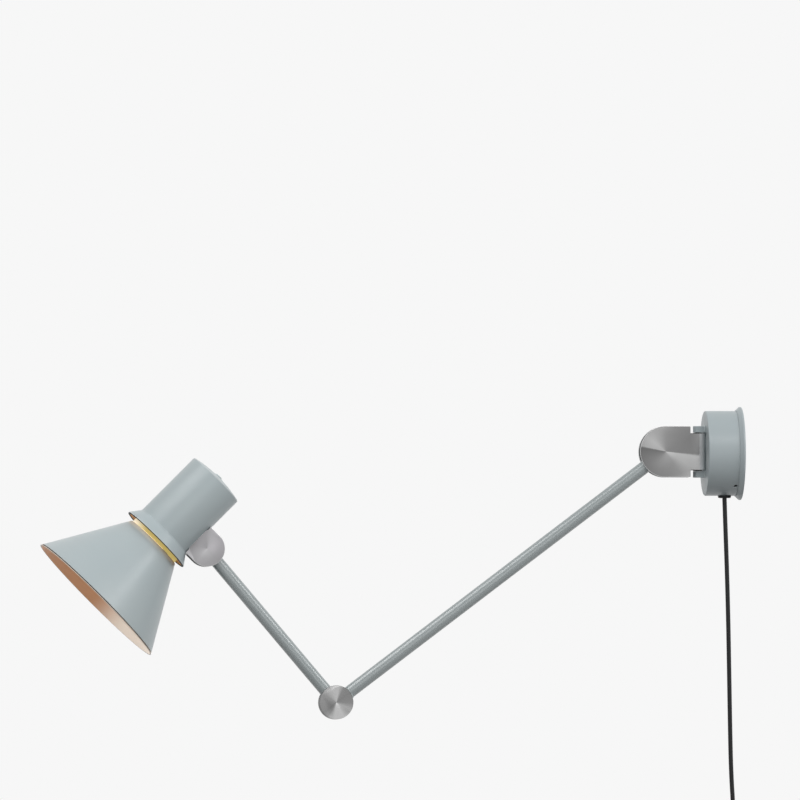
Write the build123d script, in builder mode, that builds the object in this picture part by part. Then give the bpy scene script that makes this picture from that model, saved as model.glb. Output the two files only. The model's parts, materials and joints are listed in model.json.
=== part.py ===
"""Articulating wall lamp: wall canopy, swivelling bracket, two tubular arms and a tilting shade.

Millimetres. The wall is the plane x = 0 and the lamp reaches out along -X, with +Z up.
The two arms and the shade's axis lie in the plane y = 0 at rest.
"""

import os
from math import acos, cos, hypot, pi, radians, sin, sqrt, tan

from build123d import *

os.makedirs("parts", exist_ok=True)

# ---------------------------------------------------------------- driving dimensions, mm

# clearances between pieces
move_gap = 0.3          # between pieces that move past each other
running_gap = 0.05      # radial, of a pin in its bore
seat_gap = 0.1          # radial, of a piece pushed into another

# wall plate, the flared disc behind the canopy
plate_radius = 46.6
plate_edge = 1.6        # straight edge at the wall
plate_thickness = 5.2
boss_depth = 9.5        # ring that centres the canopy
boss_wall = 3.0
fixing_circle = 62.0    # diameter of the circle of wall screws
fixing_hole_radius = 2.25
fixing_head_radius = 4.4
fixing_count = 3

# canopy, the drum
canopy_radius = 42.5
canopy_depth = 31.3
canopy_wall = 2.5
canopy_front = 6.2      # thickness of its front, which holds the pocket
canopy_edge_fillet = 1.2
pocket_width = 36.0
pocket_depth = 4.2
pocket_corner = 3.0
pocket_cable_radius = 3.5
pocket_cable_offset = 12.5
grub_radius = 1.95
grub_angle = 37.7       # degrees to each side of straight down
grub_from_plate = 2.7
grub_recess = 1.5
grub_length = 4.2

# lugs of the canopy, which hold the vertical swivel pin
bracket_rise = 1.5      # the bracket's middle stands this much above the canopy's
lug_reach = 6.9         # pin's distance in front of the canopy's face
lug_radius = 4.5
lug_height = 6.5
swivel_pin_radius = 2.0

# wall bracket, a folded stainless strip
strip = 1.5
bracket_width = 18.0    # across its two plates
bracket_bend = 6.0      # outer radius of the folds
bracket_height = 51.2
bracket_step = 7.9      # from the swivel pin to where the plates reach full height
bracket_back = 7.0      # from the swivel pin to the strip's back
tongue_height = 37.0
tongue_slit = 0.8       # gap between the tongue and each lug
tongue_corner = 1.0
pivot_reach = 33.0      # from the swivel pin to the tilt pin
block_length = 12.0     # block in the fold, which turns on the swivel pin

# arms
long_arm = 415.6        # between pivots
long_arm_drop = 37.23   # degrees below level, at rest
short_arm = 201.0
short_arm_rise = 49.7   # degrees above level, at rest
tube_radius = 6.5
tube_wall = 1.2
spigot_length = 18.0
lead_radius = 2.25      # the flex inside and outside the lamp
lead_bore = 2.6
lead_blind = 3.0        # from a barrel's surface to the end of its cable bore
tube_start_gap = 0.5    # from a barrel or cheek to the end of its tube
pin_radius = 3.0
washer = 0.5
washer_radius = 7.5
wall_barrel_radius = 12.0
head_barrel_radius = 8.5

# elbow
elbow_disc_radius = 17.0
elbow_disc = 1.5
elbow_disc_edge = 0.4
cheek_radius = 12.0
cheek = 2.8
eye = 6.8               # thickness of the short arm's eye
fork_web = 5.2

# shade and lamp body, on the head's axis, which starts at the plane of the rim
head_angle = 45.0       # degrees, the axis against level
rim_radius = 77.8
cone_angle = 30.0       # half angle
cone_wall = 1.0
body_radius = 30.75
body_wall = 1.2
body_above_pivot = 55.7
body_dome = 2.9         # rise of the top's middle above its edge
body_edge_fillet = 2.4
collar_angle = 33.5
collar_drop = 11.6
light_gap = 3.3         # between the cone's top and the collar's rim

# head bracket
head_plate_radius = 18.0
head_plate_clear = 0.2  # from the collar's top to the plates
pivot_off_body = 11.25  # from the lamp body's side to the pin
head_bracket_width = 23.0
bracket_screw_radius = 1.5
bracket_screw_head = 3.0
bracket_screw_pitch = 14.0
head_cable_radius = 3.0

# inside the head
carrier_above_pivot = 10.8
carrier = 1.5
leg_count = 3
leg_angle = 16.0        # degrees of the circle that a leg takes
leg_foot = 11.0         # foot's length down the cone
stem_radius = 5.0
ring_wall = 0.8         # amber ring that shows in the gap above the cone
ring_length = 12.0
holder_radius = 19.0
holder_length = 29.0
holder_shoulder = 8.0
holder_neck_radius = 12.0
holder_bore = 14.4
holder_floor = 4.0
shell_wall = 0.5
shell_length = 20.0
bulb_cap_radius = 13.2
bulb_cap_length = 23.0
bulb_cap_show = 2.0     # the cap's length outside the holder
bulb_contact_radius = 4.5
bulb_radius = 22.5
bulb_neck_radius = 12.4
bulb_length = 47.0      # glass, from the cap to its end
bulb_wall = 1.2

# push switch in the top of the lamp body
switch_radius = 7.0
switch_length = 17.0
bushing_radius = 5.0
bezel_radius = 6.5
bezel = 0.9
button_radius = 3.6
button_show = 2.0
button_travel = 1.5
button_length = 11.0
button_edge = 0.5

# cord, its gland and what is on it
cord_radius = 2.25
gland_along = 11.0      # from the wall plate's face to the gland's axis
gland_radius = 6.6
gland_dome = 2.2
gland_dome_fillet = 1.4
gland_neck_radius = 4.2
gland_nut_radius = 6.5
gland_nut = 2.5
block_width = 24.0
block_height = 17.0
block_depth = 14.0
block_screw_radius = 1.8
block_screw_pitch = 7.5
block_screw_count = 3

# ---------------------------------------------------------------- places that follow

plate_face = -plate_thickness
canopy_face = plate_face - canopy_depth
swivel_x = canopy_face - lug_reach
bracket_level = Plane.XY.offset(bracket_rise)
wall_pivot = Vector(swivel_x - pivot_reach, 0, bracket_rise)

long_arm_angle = radians(long_arm_drop)
long_arm_dir = Vector(-cos(long_arm_angle), 0, -sin(long_arm_angle))
elbow = wall_pivot + long_arm_dir * long_arm

short_arm_angle = radians(short_arm_rise)
short_arm_dir = Vector(-cos(short_arm_angle), 0, sin(short_arm_angle))
head_pivot = elbow + short_arm_dir * short_arm

cone_top = (rim_radius - body_radius) / tan(radians(cone_angle))
collar_rim = cone_top + light_gap
collar_top = collar_rim + collar_drop
pivot_along = collar_top + head_plate_clear + head_plate_radius
pivot_across = body_radius + pivot_off_body
body_top = pivot_along + body_above_pivot
body_crown = body_top + body_dome
carrier_along = pivot_along + carrier_above_pivot

head_tilt = radians(head_angle)
head_axis_dir = Vector(cos(head_tilt), 0, sin(head_tilt))
head_side_dir = Vector(sin(head_tilt), 0, -cos(head_tilt))
rim_centre = head_pivot - head_axis_dir * pivot_along - head_side_dir * pivot_across

head_axis = Axis(rim_centre, head_axis_dir)
head_cross = Plane(origin=rim_centre, x_dir=head_side_dir, z_dir=head_axis_dir)
head_side = Plane(origin=rim_centre, x_dir=head_side_dir, z_dir=(0, -1, 0))

lug_inner = tongue_height / 2 + tongue_slit
lug_outer = lug_inner + lug_height
boss_radius = canopy_radius - canopy_wall - move_gap
grub_x = plate_face - grub_from_plate


def side_plane(origin, along):
    """Plane of the lamp's side view: x runs along an arm and the normal is +Y."""
    return Plane(origin=origin, x_dir=along, z_dir=(0, 1, 0))


def cross_plane(origin, along, distance=0.0):
    """Plane across an arm, at a distance along it."""
    return Plane(origin=origin + along * distance, x_dir=(0, 1, 0), z_dir=along)


print("elbow", elbow)
print("head pivot", head_pivot)
print("rim centre", rim_centre)

# ---------------------------------------------------------------- wall plate and canopy

with BuildPart() as wall_plate:
    with BuildSketch(Plane.XY) as plate_profile:
        with BuildLine():
            Polyline(
                (0, 0),
                (0, plate_radius),
                (-plate_edge, plate_radius),
                (plate_face, canopy_radius + plate_edge / 2),
                (plate_face, 0),
                close=True,
            )
        make_face()
    revolve(axis=Axis.X)
    with BuildSketch(Plane.YZ.offset(plate_face)):
        Circle(boss_radius)
        Circle(boss_radius - boss_wall, mode=Mode.SUBTRACT)
    extrude(amount=-boss_depth)
    with BuildSketch(Plane.YZ.offset(plate_face)):
        with PolarLocations(fixing_circle / 2, fixing_count, start_angle=90):
            Circle(fixing_hole_radius)
    extrude(amount=plate_thickness, mode=Mode.SUBTRACT)
    with BuildSketch(Plane.YZ.offset(plate_face)):
        with PolarLocations(fixing_circle / 2, fixing_count, start_angle=90):
            Circle(fixing_head_radius)
    extrude(amount=fixing_head_radius - fixing_hole_radius, taper=45, mode=Mode.SUBTRACT)
    for side in (-1, 1):
        grub_dir = Vector(0, side * sin(radians(grub_angle)), -cos(radians(grub_angle)))
        with BuildSketch(Plane(origin=(grub_x, 0, 0), x_dir=(1, 0, 0), z_dir=grub_dir)):
            Circle(grub_radius + seat_gap)
        extrude(amount=canopy_radius, mode=Mode.SUBTRACT)
    # the gland's nut has room in a notch of the ring
    with BuildSketch(Plane.YZ.offset(plate_face)):
        with Locations((0, -boss_radius)):
            Rectangle(2 * (gland_nut_radius + move_gap), 2 * (boss_wall + move_gap))
    extrude(amount=-boss_depth, mode=Mode.SUBTRACT)
wall_plate.part.label = "wall_plate"
export_step(wall_plate.part, "parts/wall_plate.step")

with BuildPart() as canopy:
    with BuildSketch(Plane.YZ.offset(plate_face)):
        Circle(canopy_radius)
    extrude(amount=-canopy_depth)
    fillet(canopy.edges().filter_by(GeomType.CIRCLE).group_by(Axis.X)[0], canopy_edge_fillet)
    with BuildSketch(Plane.YZ.offset(plate_face)):
        Circle(canopy_radius - canopy_wall)
    extrude(amount=-(canopy_depth - canopy_front), mode=Mode.SUBTRACT)
    # the two lugs, rounded about the swivel pin, stand on the front
    for side in (-1, 1):
        with BuildSketch(bracket_level.offset(side * lug_inner)):
            with Locations((swivel_x, 0)):
                Circle(lug_radius)
            with Locations(((swivel_x + canopy_face + canopy_edge_fillet) / 2, 0)):
                Rectangle(lug_reach + canopy_edge_fillet, 2 * lug_radius)
        extrude(amount=side * lug_height)
    # the pocket between the lugs, in which the bracket's fold swings
    with BuildSketch(Plane.YZ.offset(canopy_face)):
        with Locations((0, bracket_rise)):
            RectangleRounded(pocket_width, 2 * lug_inner, pocket_corner)
    extrude(amount=pocket_depth, mode=Mode.SUBTRACT)
    with BuildSketch(Plane.YZ.offset(canopy_face)):
        with Locations((0, bracket_rise)):
            with GridLocations(2 * pocket_cable_offset, 1, 2, 1):
                Circle(pocket_cable_radius)
    extrude(amount=canopy_front, mode=Mode.SUBTRACT)
    with BuildSketch(bracket_level):
        with Locations((swivel_x, 0)):
            Circle(swivel_pin_radius + running_gap)
    extrude(amount=lug_outer, both=True, mode=Mode.SUBTRACT)
    with BuildSketch(Plane.XY):
        with Locations((plate_face - gland_along, 0)):
            Circle(gland_neck_radius + seat_gap)
    extrude(amount=-canopy_radius, mode=Mode.SUBTRACT)
    for side in (-1, 1):
        grub_dir = Vector(0, side * sin(radians(grub_angle)), -cos(radians(grub_angle)))
        with BuildSketch(Plane(origin=(grub_x, 0, 0), x_dir=(1, 0, 0), z_dir=grub_dir)):
            Circle(grub_radius + seat_gap)
        extrude(amount=canopy_radius, mode=Mode.SUBTRACT)
canopy.part.label = "canopy"
export_step(canopy.part, "parts/canopy.step")

with BuildPart() as canopy_screws:
    for side in (-1, 1):
        grub_dir = Vector(0, side * sin(radians(grub_angle)), -cos(radians(grub_angle)))
        grub_top = Vector(grub_x, 0, 0) + grub_dir * (canopy_radius - grub_recess)
        with BuildSketch(Plane(origin=grub_top, x_dir=(1, 0, 0), z_dir=grub_dir)):
            Circle(grub_radius)
        extrude(amount=-grub_length)
        with BuildSketch(Plane(origin=grub_top, x_dir=(1, 0, 0), z_dir=grub_dir)):
            RegularPolygon(grub_radius / 2, 6)
        extrude(amount=-grub_length / 2, mode=Mode.SUBTRACT)
canopy_screws.part.label = "canopy_screws"
export_step(canopy_screws.part, "parts/canopy_screws.step")

with BuildPart() as swivel_pin:
    with BuildSketch(bracket_level):
        with Locations((swivel_x, 0)):
            Circle(swivel_pin_radius)
    extrude(amount=lug_outer, both=True)
    chamfer(swivel_pin.edges().filter_by(GeomType.CIRCLE), running_gap * 4)
swivel_pin.part.label = "swivel_pin"
export_step(swivel_pin.part, "parts/swivel_pin.step")

# ---------------------------------------------------------------- supply inside the canopy

gland_x = plate_face - gland_along
gland_bottom = -canopy_radius - gland_dome
gland_nut_seat = running_gap - sqrt((canopy_radius - canopy_wall) ** 2 - gland_nut_radius**2)
gland_top = gland_nut_seat + gland_nut

with BuildPart() as cord_gland:
    with BuildSketch(Plane.XY.offset(gland_bottom)):
        with Locations((gland_x, 0)):
            Circle(gland_radius)
    extrude(amount=gland_dome + canopy_wall)
    fillet(cord_gland.edges().filter_by(GeomType.CIRCLE).group_by(Axis.Z)[0], gland_dome_fillet)
    # the dome sits on the round of the drum
    with BuildSketch(Plane.YZ):
        Circle(canopy_radius + running_gap)
    extrude(amount=-2 * canopy_depth, mode=Mode.SUBTRACT)
    with BuildSketch(Plane.XY.offset(gland_top)):
        with Locations((gland_x, 0)):
            Circle(gland_neck_radius)
    extrude(amount=gland_bottom + gland_dome_fillet - gland_top)
    with BuildSketch(Plane.XY.offset(gland_nut_seat)):
        with Locations((gland_x, 0)):
            Circle(gland_nut_radius)
    extrude(amount=gland_nut)
    with BuildSketch(Plane.XY.offset(gland_bottom)):
        with Locations((gland_x, 0)):
            Circle(lead_radius + seat_gap)
    extrude(amount=gland_top - gland_bottom, mode=Mode.SUBTRACT)
cord_gland.part.label = "cord_gland"
export_step(cord_gland.part, "parts/cord_gland.step")

with BuildPart() as terminal_block:
    with BuildSketch(Plane.YZ.offset(plate_face)):
        RectangleRounded(block_width, block_height, block_screw_radius)
    extrude(amount=-block_depth)
    with BuildSketch(Plane.YZ.offset(plate_face - block_depth)):
        with GridLocations(block_screw_pitch, 1, block_screw_count, 1):
            Circle(block_screw_radius + seat_gap)
    extrude(amount=block_depth / 2, mode=Mode.SUBTRACT)
terminal_block.part.label = "terminal_block"
export_step(terminal_block.part, "parts/terminal_block.step")

with BuildPart() as terminal_screws:
    with BuildSketch(Plane.YZ.offset(plate_face - block_depth / 2)):
        with GridLocations(block_screw_pitch, 1, block_screw_count, 1):
            Circle(block_screw_radius)
    extrude(amount=-block_depth / 3)
    with BuildSketch(Plane.YZ.offset(plate_face - block_depth / 2 - block_depth / 3)):
        with GridLocations(block_screw_pitch, 1, block_screw_count, 1):
            Rectangle(2 * block_screw_radius, block_screw_radius / 3)
    extrude(amount=block_screw_radius / 2, mode=Mode.SUBTRACT)
terminal_screws.part.label = "terminal_screws"
export_step(terminal_screws.part, "parts/terminal_screws.step")

with BuildPart() as supply_lead:
    with BuildSketch(Plane.XY.offset(gland_bottom)):
        with Locations((gland_x, 0)):
            Circle(lead_radius)
    extrude(amount=-block_height / 2 - gland_bottom)
supply_lead.part.label = "supply_lead"
export_step(supply_lead.part, "parts/supply_lead.step")

# ---------------------------------------------------------------- wall bracket

bracket_inner = bracket_width / 2 - strip
plate_end_radius = bracket_height / 2
strip_back_x = swivel_x + bracket_back
plate_step_x = swivel_x - bracket_step
plate_tip_x = wall_pivot.X - plate_end_radius

with BuildPart() as wall_bracket:
    # the strip folded round, seen from above
    with BuildSketch(bracket_level):
        with Locations(((strip_back_x + plate_tip_x) / 2, 0)):
            Rectangle(strip_back_x - plate_tip_x, bracket_width)
    extrude(amount=bracket_height / 2, both=True)
    fillet(wall_bracket.edges().filter_by(Axis.Z).group_by(Axis.X)[-1], bracket_bend)
    with BuildSketch(bracket_level) as channel:
        with Locations(((strip_back_x - strip + plate_tip_x) / 2, 0)):
            Rectangle(strip_back_x - strip - plate_tip_x, 2 * bracket_inner)
        fillet(channel.vertices().group_by(Axis.X)[-1], bracket_bend - strip)
    extrude(amount=bracket_height / 2, both=True, mode=Mode.SUBTRACT)
    # its outline from the side: a full round, straight plates and the narrower tongue
    with BuildSketch(Plane.XZ) as bracket_outline:
        with Locations((wall_pivot.X, bracket_rise)):
            Circle(plate_end_radius)
        with Locations(((wall_pivot.X + plate_step_x) / 2, bracket_rise)):
            Rectangle(plate_step_x - wall_pivot.X, bracket_height)
        fillet(bracket_outline.vertices().group_by(Axis.X)[-1], tongue_corner)
        with Locations(((wall_pivot.X + strip_back_x) / 2, bracket_rise)):
            Rectangle(strip_back_x - wall_pivot.X, tongue_height)
    extrude(amount=bracket_width, both=True, mode=Mode.INTERSECT)
wall_bracket.part.label = "wall_bracket"
export_step(wall_bracket.part, "parts/wall_bracket.step")

block_back_x = strip_back_x - strip
with BuildPart() as swivel_block:
    with BuildSketch(bracket_level) as block_plan:
        with Locations((block_back_x - block_length / 2, 0)):
            Rectangle(block_length, 2 * bracket_inner)
        fillet(block_plan.vertices().group_by(Axis.X)[-1], bracket_bend - strip + move_gap)
        with Locations((swivel_x, 0)):
            Circle(swivel_pin_radius + running_gap, mode=Mode.SUBTRACT)
    extrude(amount=tongue_height / 2, both=True)
swivel_block.part.label = "swivel_block"
export_step(swivel_block.part, "parts/swivel_block.step")

with BuildPart() as swivel_washers:
    for side in (-1, 1):
        with BuildSketch(bracket_level.offset(side * tongue_height / 2)):
            with Locations((swivel_x, 0)):
                Circle(lug_radius)
                Circle(swivel_pin_radius + running_gap, mode=Mode.SUBTRACT)
        extrude(amount=side * (tongue_slit - move_gap))
swivel_washers.part.label = "swivel_washers"
export_step(swivel_washers.part, "parts/swivel_washers.step")


def cross_pin(pivot, half_length):
    """A plain pin along Y, between the inner faces of two plates."""
    with BuildPart() as pin:
        with BuildSketch(side_plane(pivot, (1, 0, 0))):
            Circle(pin_radius)
        extrude(amount=half_length, both=True)
    return pin


def thrust_washers(pivot, inner_face):
    """Two thin friction rings, one on each end of a barrel or eye."""
    with BuildPart() as rings:
        for side in (-1, 1):
            with BuildSketch(side_plane(pivot + Vector(0, side * inner_face, 0), (1, 0, 0))):
                Circle(washer_radius)
                Circle(pin_radius + running_gap, mode=Mode.SUBTRACT)
            extrude(amount=side * washer)
    return rings


tilt_pin = cross_pin(wall_pivot, bracket_inner)
tilt_pin.part.label = "tilt_pin"
export_step(tilt_pin.part, "parts/tilt_pin.step")

# ---------------------------------------------------------------- arms


def barrel_knuckle(pivot, along, radius, half_width, tube_start):
    """A barrel on a cross pin, with a spigot that goes into the arm's tube."""
    with BuildPart() as knuckle:
        with BuildSketch(side_plane(pivot, along)):
            Circle(radius)
        extrude(amount=half_width, both=True)
        with BuildSketch(cross_plane(pivot, along)):
            Circle(tube_radius - tube_wall - seat_gap)
        extrude(amount=tube_start + spigot_length)
        with BuildSketch(cross_plane(pivot, along, radius - lead_blind)):
            Circle(lead_bore)
        extrude(amount=tube_start + spigot_length, mode=Mode.SUBTRACT)
        with BuildSketch(side_plane(pivot, along)):
            Circle(pin_radius + running_gap)
        extrude(amount=half_width, both=True, mode=Mode.SUBTRACT)
    return knuckle


def arm_tube(pivot, along, start, end):
    """The arm's tube between two distances from a pivot."""
    with BuildPart() as tube:
        with BuildSketch(cross_plane(pivot, along, start)):
            Circle(tube_radius)
            Circle(tube_radius - tube_wall, mode=Mode.SUBTRACT)
        extrude(amount=end - start)
    return tube


def arm_lead(pivot, along, start, end):
    """The flex inside an arm, from one knuckle's cable bore to the other's."""
    with BuildPart() as lead:
        with BuildSketch(cross_plane(pivot, along, start)):
            Circle(lead_radius)
        extrude(amount=end - start)
    return lead


wall_barrel_half = bracket_inner - washer - move_gap
wall_tube_start = wall_barrel_radius + tube_start_gap
elbow_side_of_long_arm = cheek_radius + move_gap + fork_web
elbow_side_of_short_arm = cheek_radius + move_gap + tube_start_gap
head_plate_inner = head_bracket_width / 2 - strip
head_barrel_half = head_plate_inner - washer - move_gap
head_tube_start = head_barrel_radius + tube_start_gap

wall_knuckle = barrel_knuckle(
    wall_pivot, long_arm_dir, wall_barrel_radius, wall_barrel_half, wall_tube_start
)
wall_knuckle.part.label = "wall_knuckle"
export_step(wall_knuckle.part, "parts/wall_knuckle.step")

tilt_washers = thrust_washers(wall_pivot, wall_barrel_half)
tilt_washers.part.label = "tilt_washers"
export_step(tilt_washers.part, "parts/tilt_washers.step")

long_arm_tube = arm_tube(
    wall_pivot, long_arm_dir, wall_tube_start, long_arm - elbow_side_of_long_arm
)
long_arm_tube.part.label = "long_arm_tube"
export_step(long_arm_tube.part, "parts/long_arm_tube.step")

long_arm_lead = arm_lead(
    wall_pivot,
    long_arm_dir,
    wall_barrel_radius - lead_blind + move_gap,
    long_arm - elbow_side_of_long_arm + fork_web - lead_blind - move_gap,
)
long_arm_lead.part.label = "long_arm_lead"
export_step(long_arm_lead.part, "parts/long_arm_lead.step")

eye_half = eye / 2
cheek_inner = eye_half + washer + move_gap
cheek_outer = cheek_inner + cheek
to_wall = -long_arm_dir

with BuildPart() as elbow_fork:
    with BuildSketch(side_plane(elbow, to_wall)):
        Circle(cheek_radius)
        with Locations((elbow_side_of_long_arm / 2, 0)):
            Rectangle(elbow_side_of_long_arm, 2 * tube_radius)
    extrude(amount=cheek_outer, both=True)
    # the slot between the cheeks takes the eye
    with BuildSketch(side_plane(elbow, to_wall)):
        Circle(cheek_radius + move_gap)
    extrude(amount=cheek_inner, both=True, mode=Mode.SUBTRACT)
    with BuildSketch(cross_plane(elbow, to_wall, elbow_side_of_long_arm)):
        Circle(tube_radius - tube_wall - seat_gap)
    extrude(amount=spigot_length)
    with BuildSketch(cross_plane(elbow, to_wall, elbow_side_of_long_arm - fork_web + lead_blind)):
        Circle(lead_bore)
    extrude(amount=fork_web + spigot_length, mode=Mode.SUBTRACT)
    with BuildSketch(side_plane(elbow, to_wall)):
        Circle(pin_radius + running_gap)
    extrude(amount=cheek_outer, both=True, mode=Mode.SUBTRACT)
elbow_fork.part.label = "elbow_fork"
export_step(elbow_fork.part, "parts/elbow_fork.step")

elbow_pin = cross_pin(elbow, cheek_outer)
elbow_pin.part.label = "elbow_pin"
export_step(elbow_pin.part, "parts/elbow_pin.step")


def elbow_disc_cap(side):
    """A turned stainless disc that closes one side of the elbow."""
    with BuildPart() as disc:
        with BuildSketch(side_plane(elbow + Vector(0, side * cheek_outer, 0), (1, 0, 0))):
            Circle(elbow_disc_radius)
        extrude(amount=side * elbow_disc)
        outer_edge = disc.edges().filter_by(GeomType.CIRCLE).sort_by(Axis.Y)[-1 if side > 0 else 0]
        chamfer(outer_edge, elbow_disc_edge)
    return disc


elbow_disc_near = elbow_disc_cap(-1)
elbow_disc_near.part.label = "elbow_disc_near"
export_step(elbow_disc_near.part, "parts/elbow_disc_near.step")

elbow_disc_far = elbow_disc_cap(1)
elbow_disc_far.part.label = "elbow_disc_far"
export_step(elbow_disc_far.part, "parts/elbow_disc_far.step")

with BuildPart() as elbow_eye:
    with BuildSketch(side_plane(elbow, short_arm_dir)):
        Circle(cheek_radius)
        with Locations((elbow_side_of_short_arm / 2, 0)):
            Rectangle(elbow_side_of_short_arm, 2 * (tube_radius - tube_wall))
    extrude(amount=eye_half, both=True)
    with BuildSketch(cross_plane(elbow, short_arm_dir, elbow_side_of_short_arm)):
        Circle(tube_radius - tube_wall - seat_gap)
    extrude(amount=spigot_length)
    with BuildSketch(cross_plane(elbow, short_arm_dir, cheek_radius - lead_blind)):
        Circle(lead_bore)
    extrude(amount=elbow_side_of_short_arm + spigot_length, mode=Mode.SUBTRACT)
    with BuildSketch(side_plane(elbow, short_arm_dir)):
        Circle(pin_radius + running_gap)
    extrude(amount=eye_half, both=True, mode=Mode.SUBTRACT)
elbow_eye.part.label = "elbow_eye"
export_step(elbow_eye.part, "parts/elbow_eye.step")

elbow_washers = thrust_washers(elbow, eye_half)
elbow_washers.part.label = "elbow_washers"
export_step(elbow_washers.part, "parts/elbow_washers.step")

short_arm_tube = arm_tube(
    elbow, short_arm_dir, elbow_side_of_short_arm, short_arm - head_tube_start
)
short_arm_tube.part.label = "short_arm_tube"
export_step(short_arm_tube.part, "parts/short_arm_tube.step")

short_arm_lead = arm_lead(
    elbow,
    short_arm_dir,
    cheek_radius - lead_blind + move_gap,
    short_arm - head_barrel_radius + lead_blind - move_gap,
)
short_arm_lead.part.label = "short_arm_lead"
export_step(short_arm_lead.part, "parts/short_arm_lead.step")

head_knuckle = barrel_knuckle(
    head_pivot, -short_arm_dir, head_barrel_radius, head_barrel_half, head_tube_start
)
head_knuckle.part.label = "head_knuckle"
export_step(head_knuckle.part, "parts/head_knuckle.step")

head_washers = thrust_washers(head_pivot, head_barrel_half)
head_washers.part.label = "head_washers"
export_step(head_washers.part, "parts/head_washers.step")

# ---------------------------------------------------------------- head

body_inner = body_radius - body_wall
collar_slope = tan(radians(collar_angle))
collar_radius = body_radius + collar_drop * collar_slope
top_flat = bezel_radius + seat_gap

with BuildPart() as lamp_body:
    with BuildSketch(head_side):
        # the top is flat under the switch's bezel and domed from there to its edge
        with BuildLine():
            Line((0, body_crown), (top_flat, body_crown))
            TangentArc((top_flat, body_crown), (body_radius, body_top), tangent=(1, 0))
            Polyline(
                (body_radius, body_top),
                (body_radius, collar_top),
                (collar_radius, collar_rim),
                (collar_radius - body_wall / cos(radians(collar_angle)), collar_rim),
                (body_inner, collar_top - body_wall * tan(radians(collar_angle / 2))),
                (body_inner, body_top - body_wall),
            )
            TangentArc(
                (top_flat, body_crown - body_wall), (body_inner, body_top - body_wall), tangent=(1, 0)
            )
            Polyline((top_flat, body_crown - body_wall), (0, body_crown - body_wall), (0, body_crown))
        make_face()
    revolve(axis=head_axis)
    outside = lamp_body.edges().filter_by(GeomType.CIRCLE).filter_by(
        lambda edge: abs(edge.radius - body_radius) < running_gap
    )
    fillet(outside.group_by(head_axis)[-1], body_edge_fillet)
    with BuildSketch(head_cross.offset(body_crown - 2 * body_wall)):
        Circle(bushing_radius + seat_gap)
    extrude(amount=3 * body_wall, mode=Mode.SUBTRACT)
    # screw and cable holes behind the head bracket
    with BuildSketch(Plane(origin=head_pivot, x_dir=(0, 1, 0), z_dir=-head_side_dir)):
        with GridLocations(1, bracket_screw_pitch, 1, 2):
            Circle(bracket_screw_radius + seat_gap)
        Circle(head_cable_radius)
    extrude(amount=pivot_across - holder_radius, mode=Mode.SUBTRACT)
lamp_body.part.label = "lamp_body"
export_step(lamp_body.part, "parts/lamp_body.step")

cone_wall_level = cone_wall / cos(radians(cone_angle))
with BuildPart() as cone_shade:
    with BuildSketch(head_side):
        with BuildLine():
            Polyline(
                (rim_radius, 0),
                (body_radius, cone_top),
                (body_radius - cone_wall_level, cone_top),
                (rim_radius - cone_wall_level, 0),
                close=True,
            )
        make_face()
    revolve(axis=head_axis)
cone_shade.part.label = "cone_shade"
export_step(cone_shade.part, "parts/cone_shade.step")

carrier_radius = body_inner - move_gap
ring_inner = carrier_radius - ring_wall
leg_radius = ring_inner - seat_gap
ring_low = cone_top + move_gap
foot_top = cone_top - move_gap
cone_inner_at_foot = body_radius - cone_wall_level - move_gap
foot_end_drop = leg_foot * cos(radians(cone_angle))
foot_end_out = leg_foot * sin(radians(cone_angle))


def head_radial(angle):
    """Plane through the head's axis, turned from the side of the arm by an angle in radians."""
    outward = head_side_dir * cos(angle) + Vector(0, 1, 0) * sin(angle)
    return Plane(origin=rim_centre, x_dir=outward, z_dir=outward.cross(head_axis_dir))


with BuildPart() as shade_spider:
    for leg in range(leg_count):
        leg_start = pi + 2 * pi * leg / leg_count - radians(leg_angle / 2)
        with BuildSketch(head_radial(leg_start)):
            with BuildLine():
                Polyline(
                    (leg_radius, carrier_along),
                    (leg_radius, foot_top + move_gap),
                    (cone_inner_at_foot, foot_top),
                    (cone_inner_at_foot + foot_end_out, foot_top - foot_end_drop),
                    (cone_inner_at_foot + foot_end_out - carrier, foot_top - foot_end_drop),
                    (leg_radius - carrier, foot_top),
                    (leg_radius - carrier, carrier_along),
                    close=True,
                )
            make_face()
        revolve(axis=head_axis, revolution_arc=leg_angle)
    with BuildSketch(head_cross.offset(carrier_along)):
        Circle(carrier_radius)
        Circle(stem_radius + seat_gap, mode=Mode.SUBTRACT)
    extrude(amount=carrier)
shade_spider.part.label = "shade_spider"
export_step(shade_spider.part, "parts/shade_spider.step")

# translucent ring round the legs, which glows in the gap between the cone and the collar
with BuildPart() as light_ring:
    with BuildSketch(head_cross.offset(ring_low)):
        Circle(carrier_radius)
        Circle(ring_inner, mode=Mode.SUBTRACT)
    extrude(amount=ring_length)
light_ring.part.label = "light_ring"
export_step(light_ring.part, "parts/light_ring.step")

holder_rim = carrier_along - holder_length
with BuildPart() as lampholder:
    with BuildSketch(head_side):
        with BuildLine():
            Polyline(
                (0, carrier_along),
                (holder_neck_radius, carrier_along),
                (holder_radius, carrier_along - holder_shoulder),
                (holder_radius, holder_rim),
                (holder_bore, holder_rim),
                (holder_bore, carrier_along - holder_floor),
                (0, carrier_along - holder_floor),
                close=True,
            )
        make_face()
    revolve(axis=head_axis)
    # threaded stem through the carrier, with its nut
    with BuildSketch(head_cross.offset(carrier_along)):
        Circle(stem_radius)
    extrude(amount=holder_shoulder)
    with BuildSketch(head_cross.offset(carrier_along + carrier)):
        RegularPolygon(holder_neck_radius - carrier, 6)
    extrude(amount=holder_floor)
lampholder.part.label = "lampholder"
export_step(lampholder.part, "parts/lampholder.step")

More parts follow.
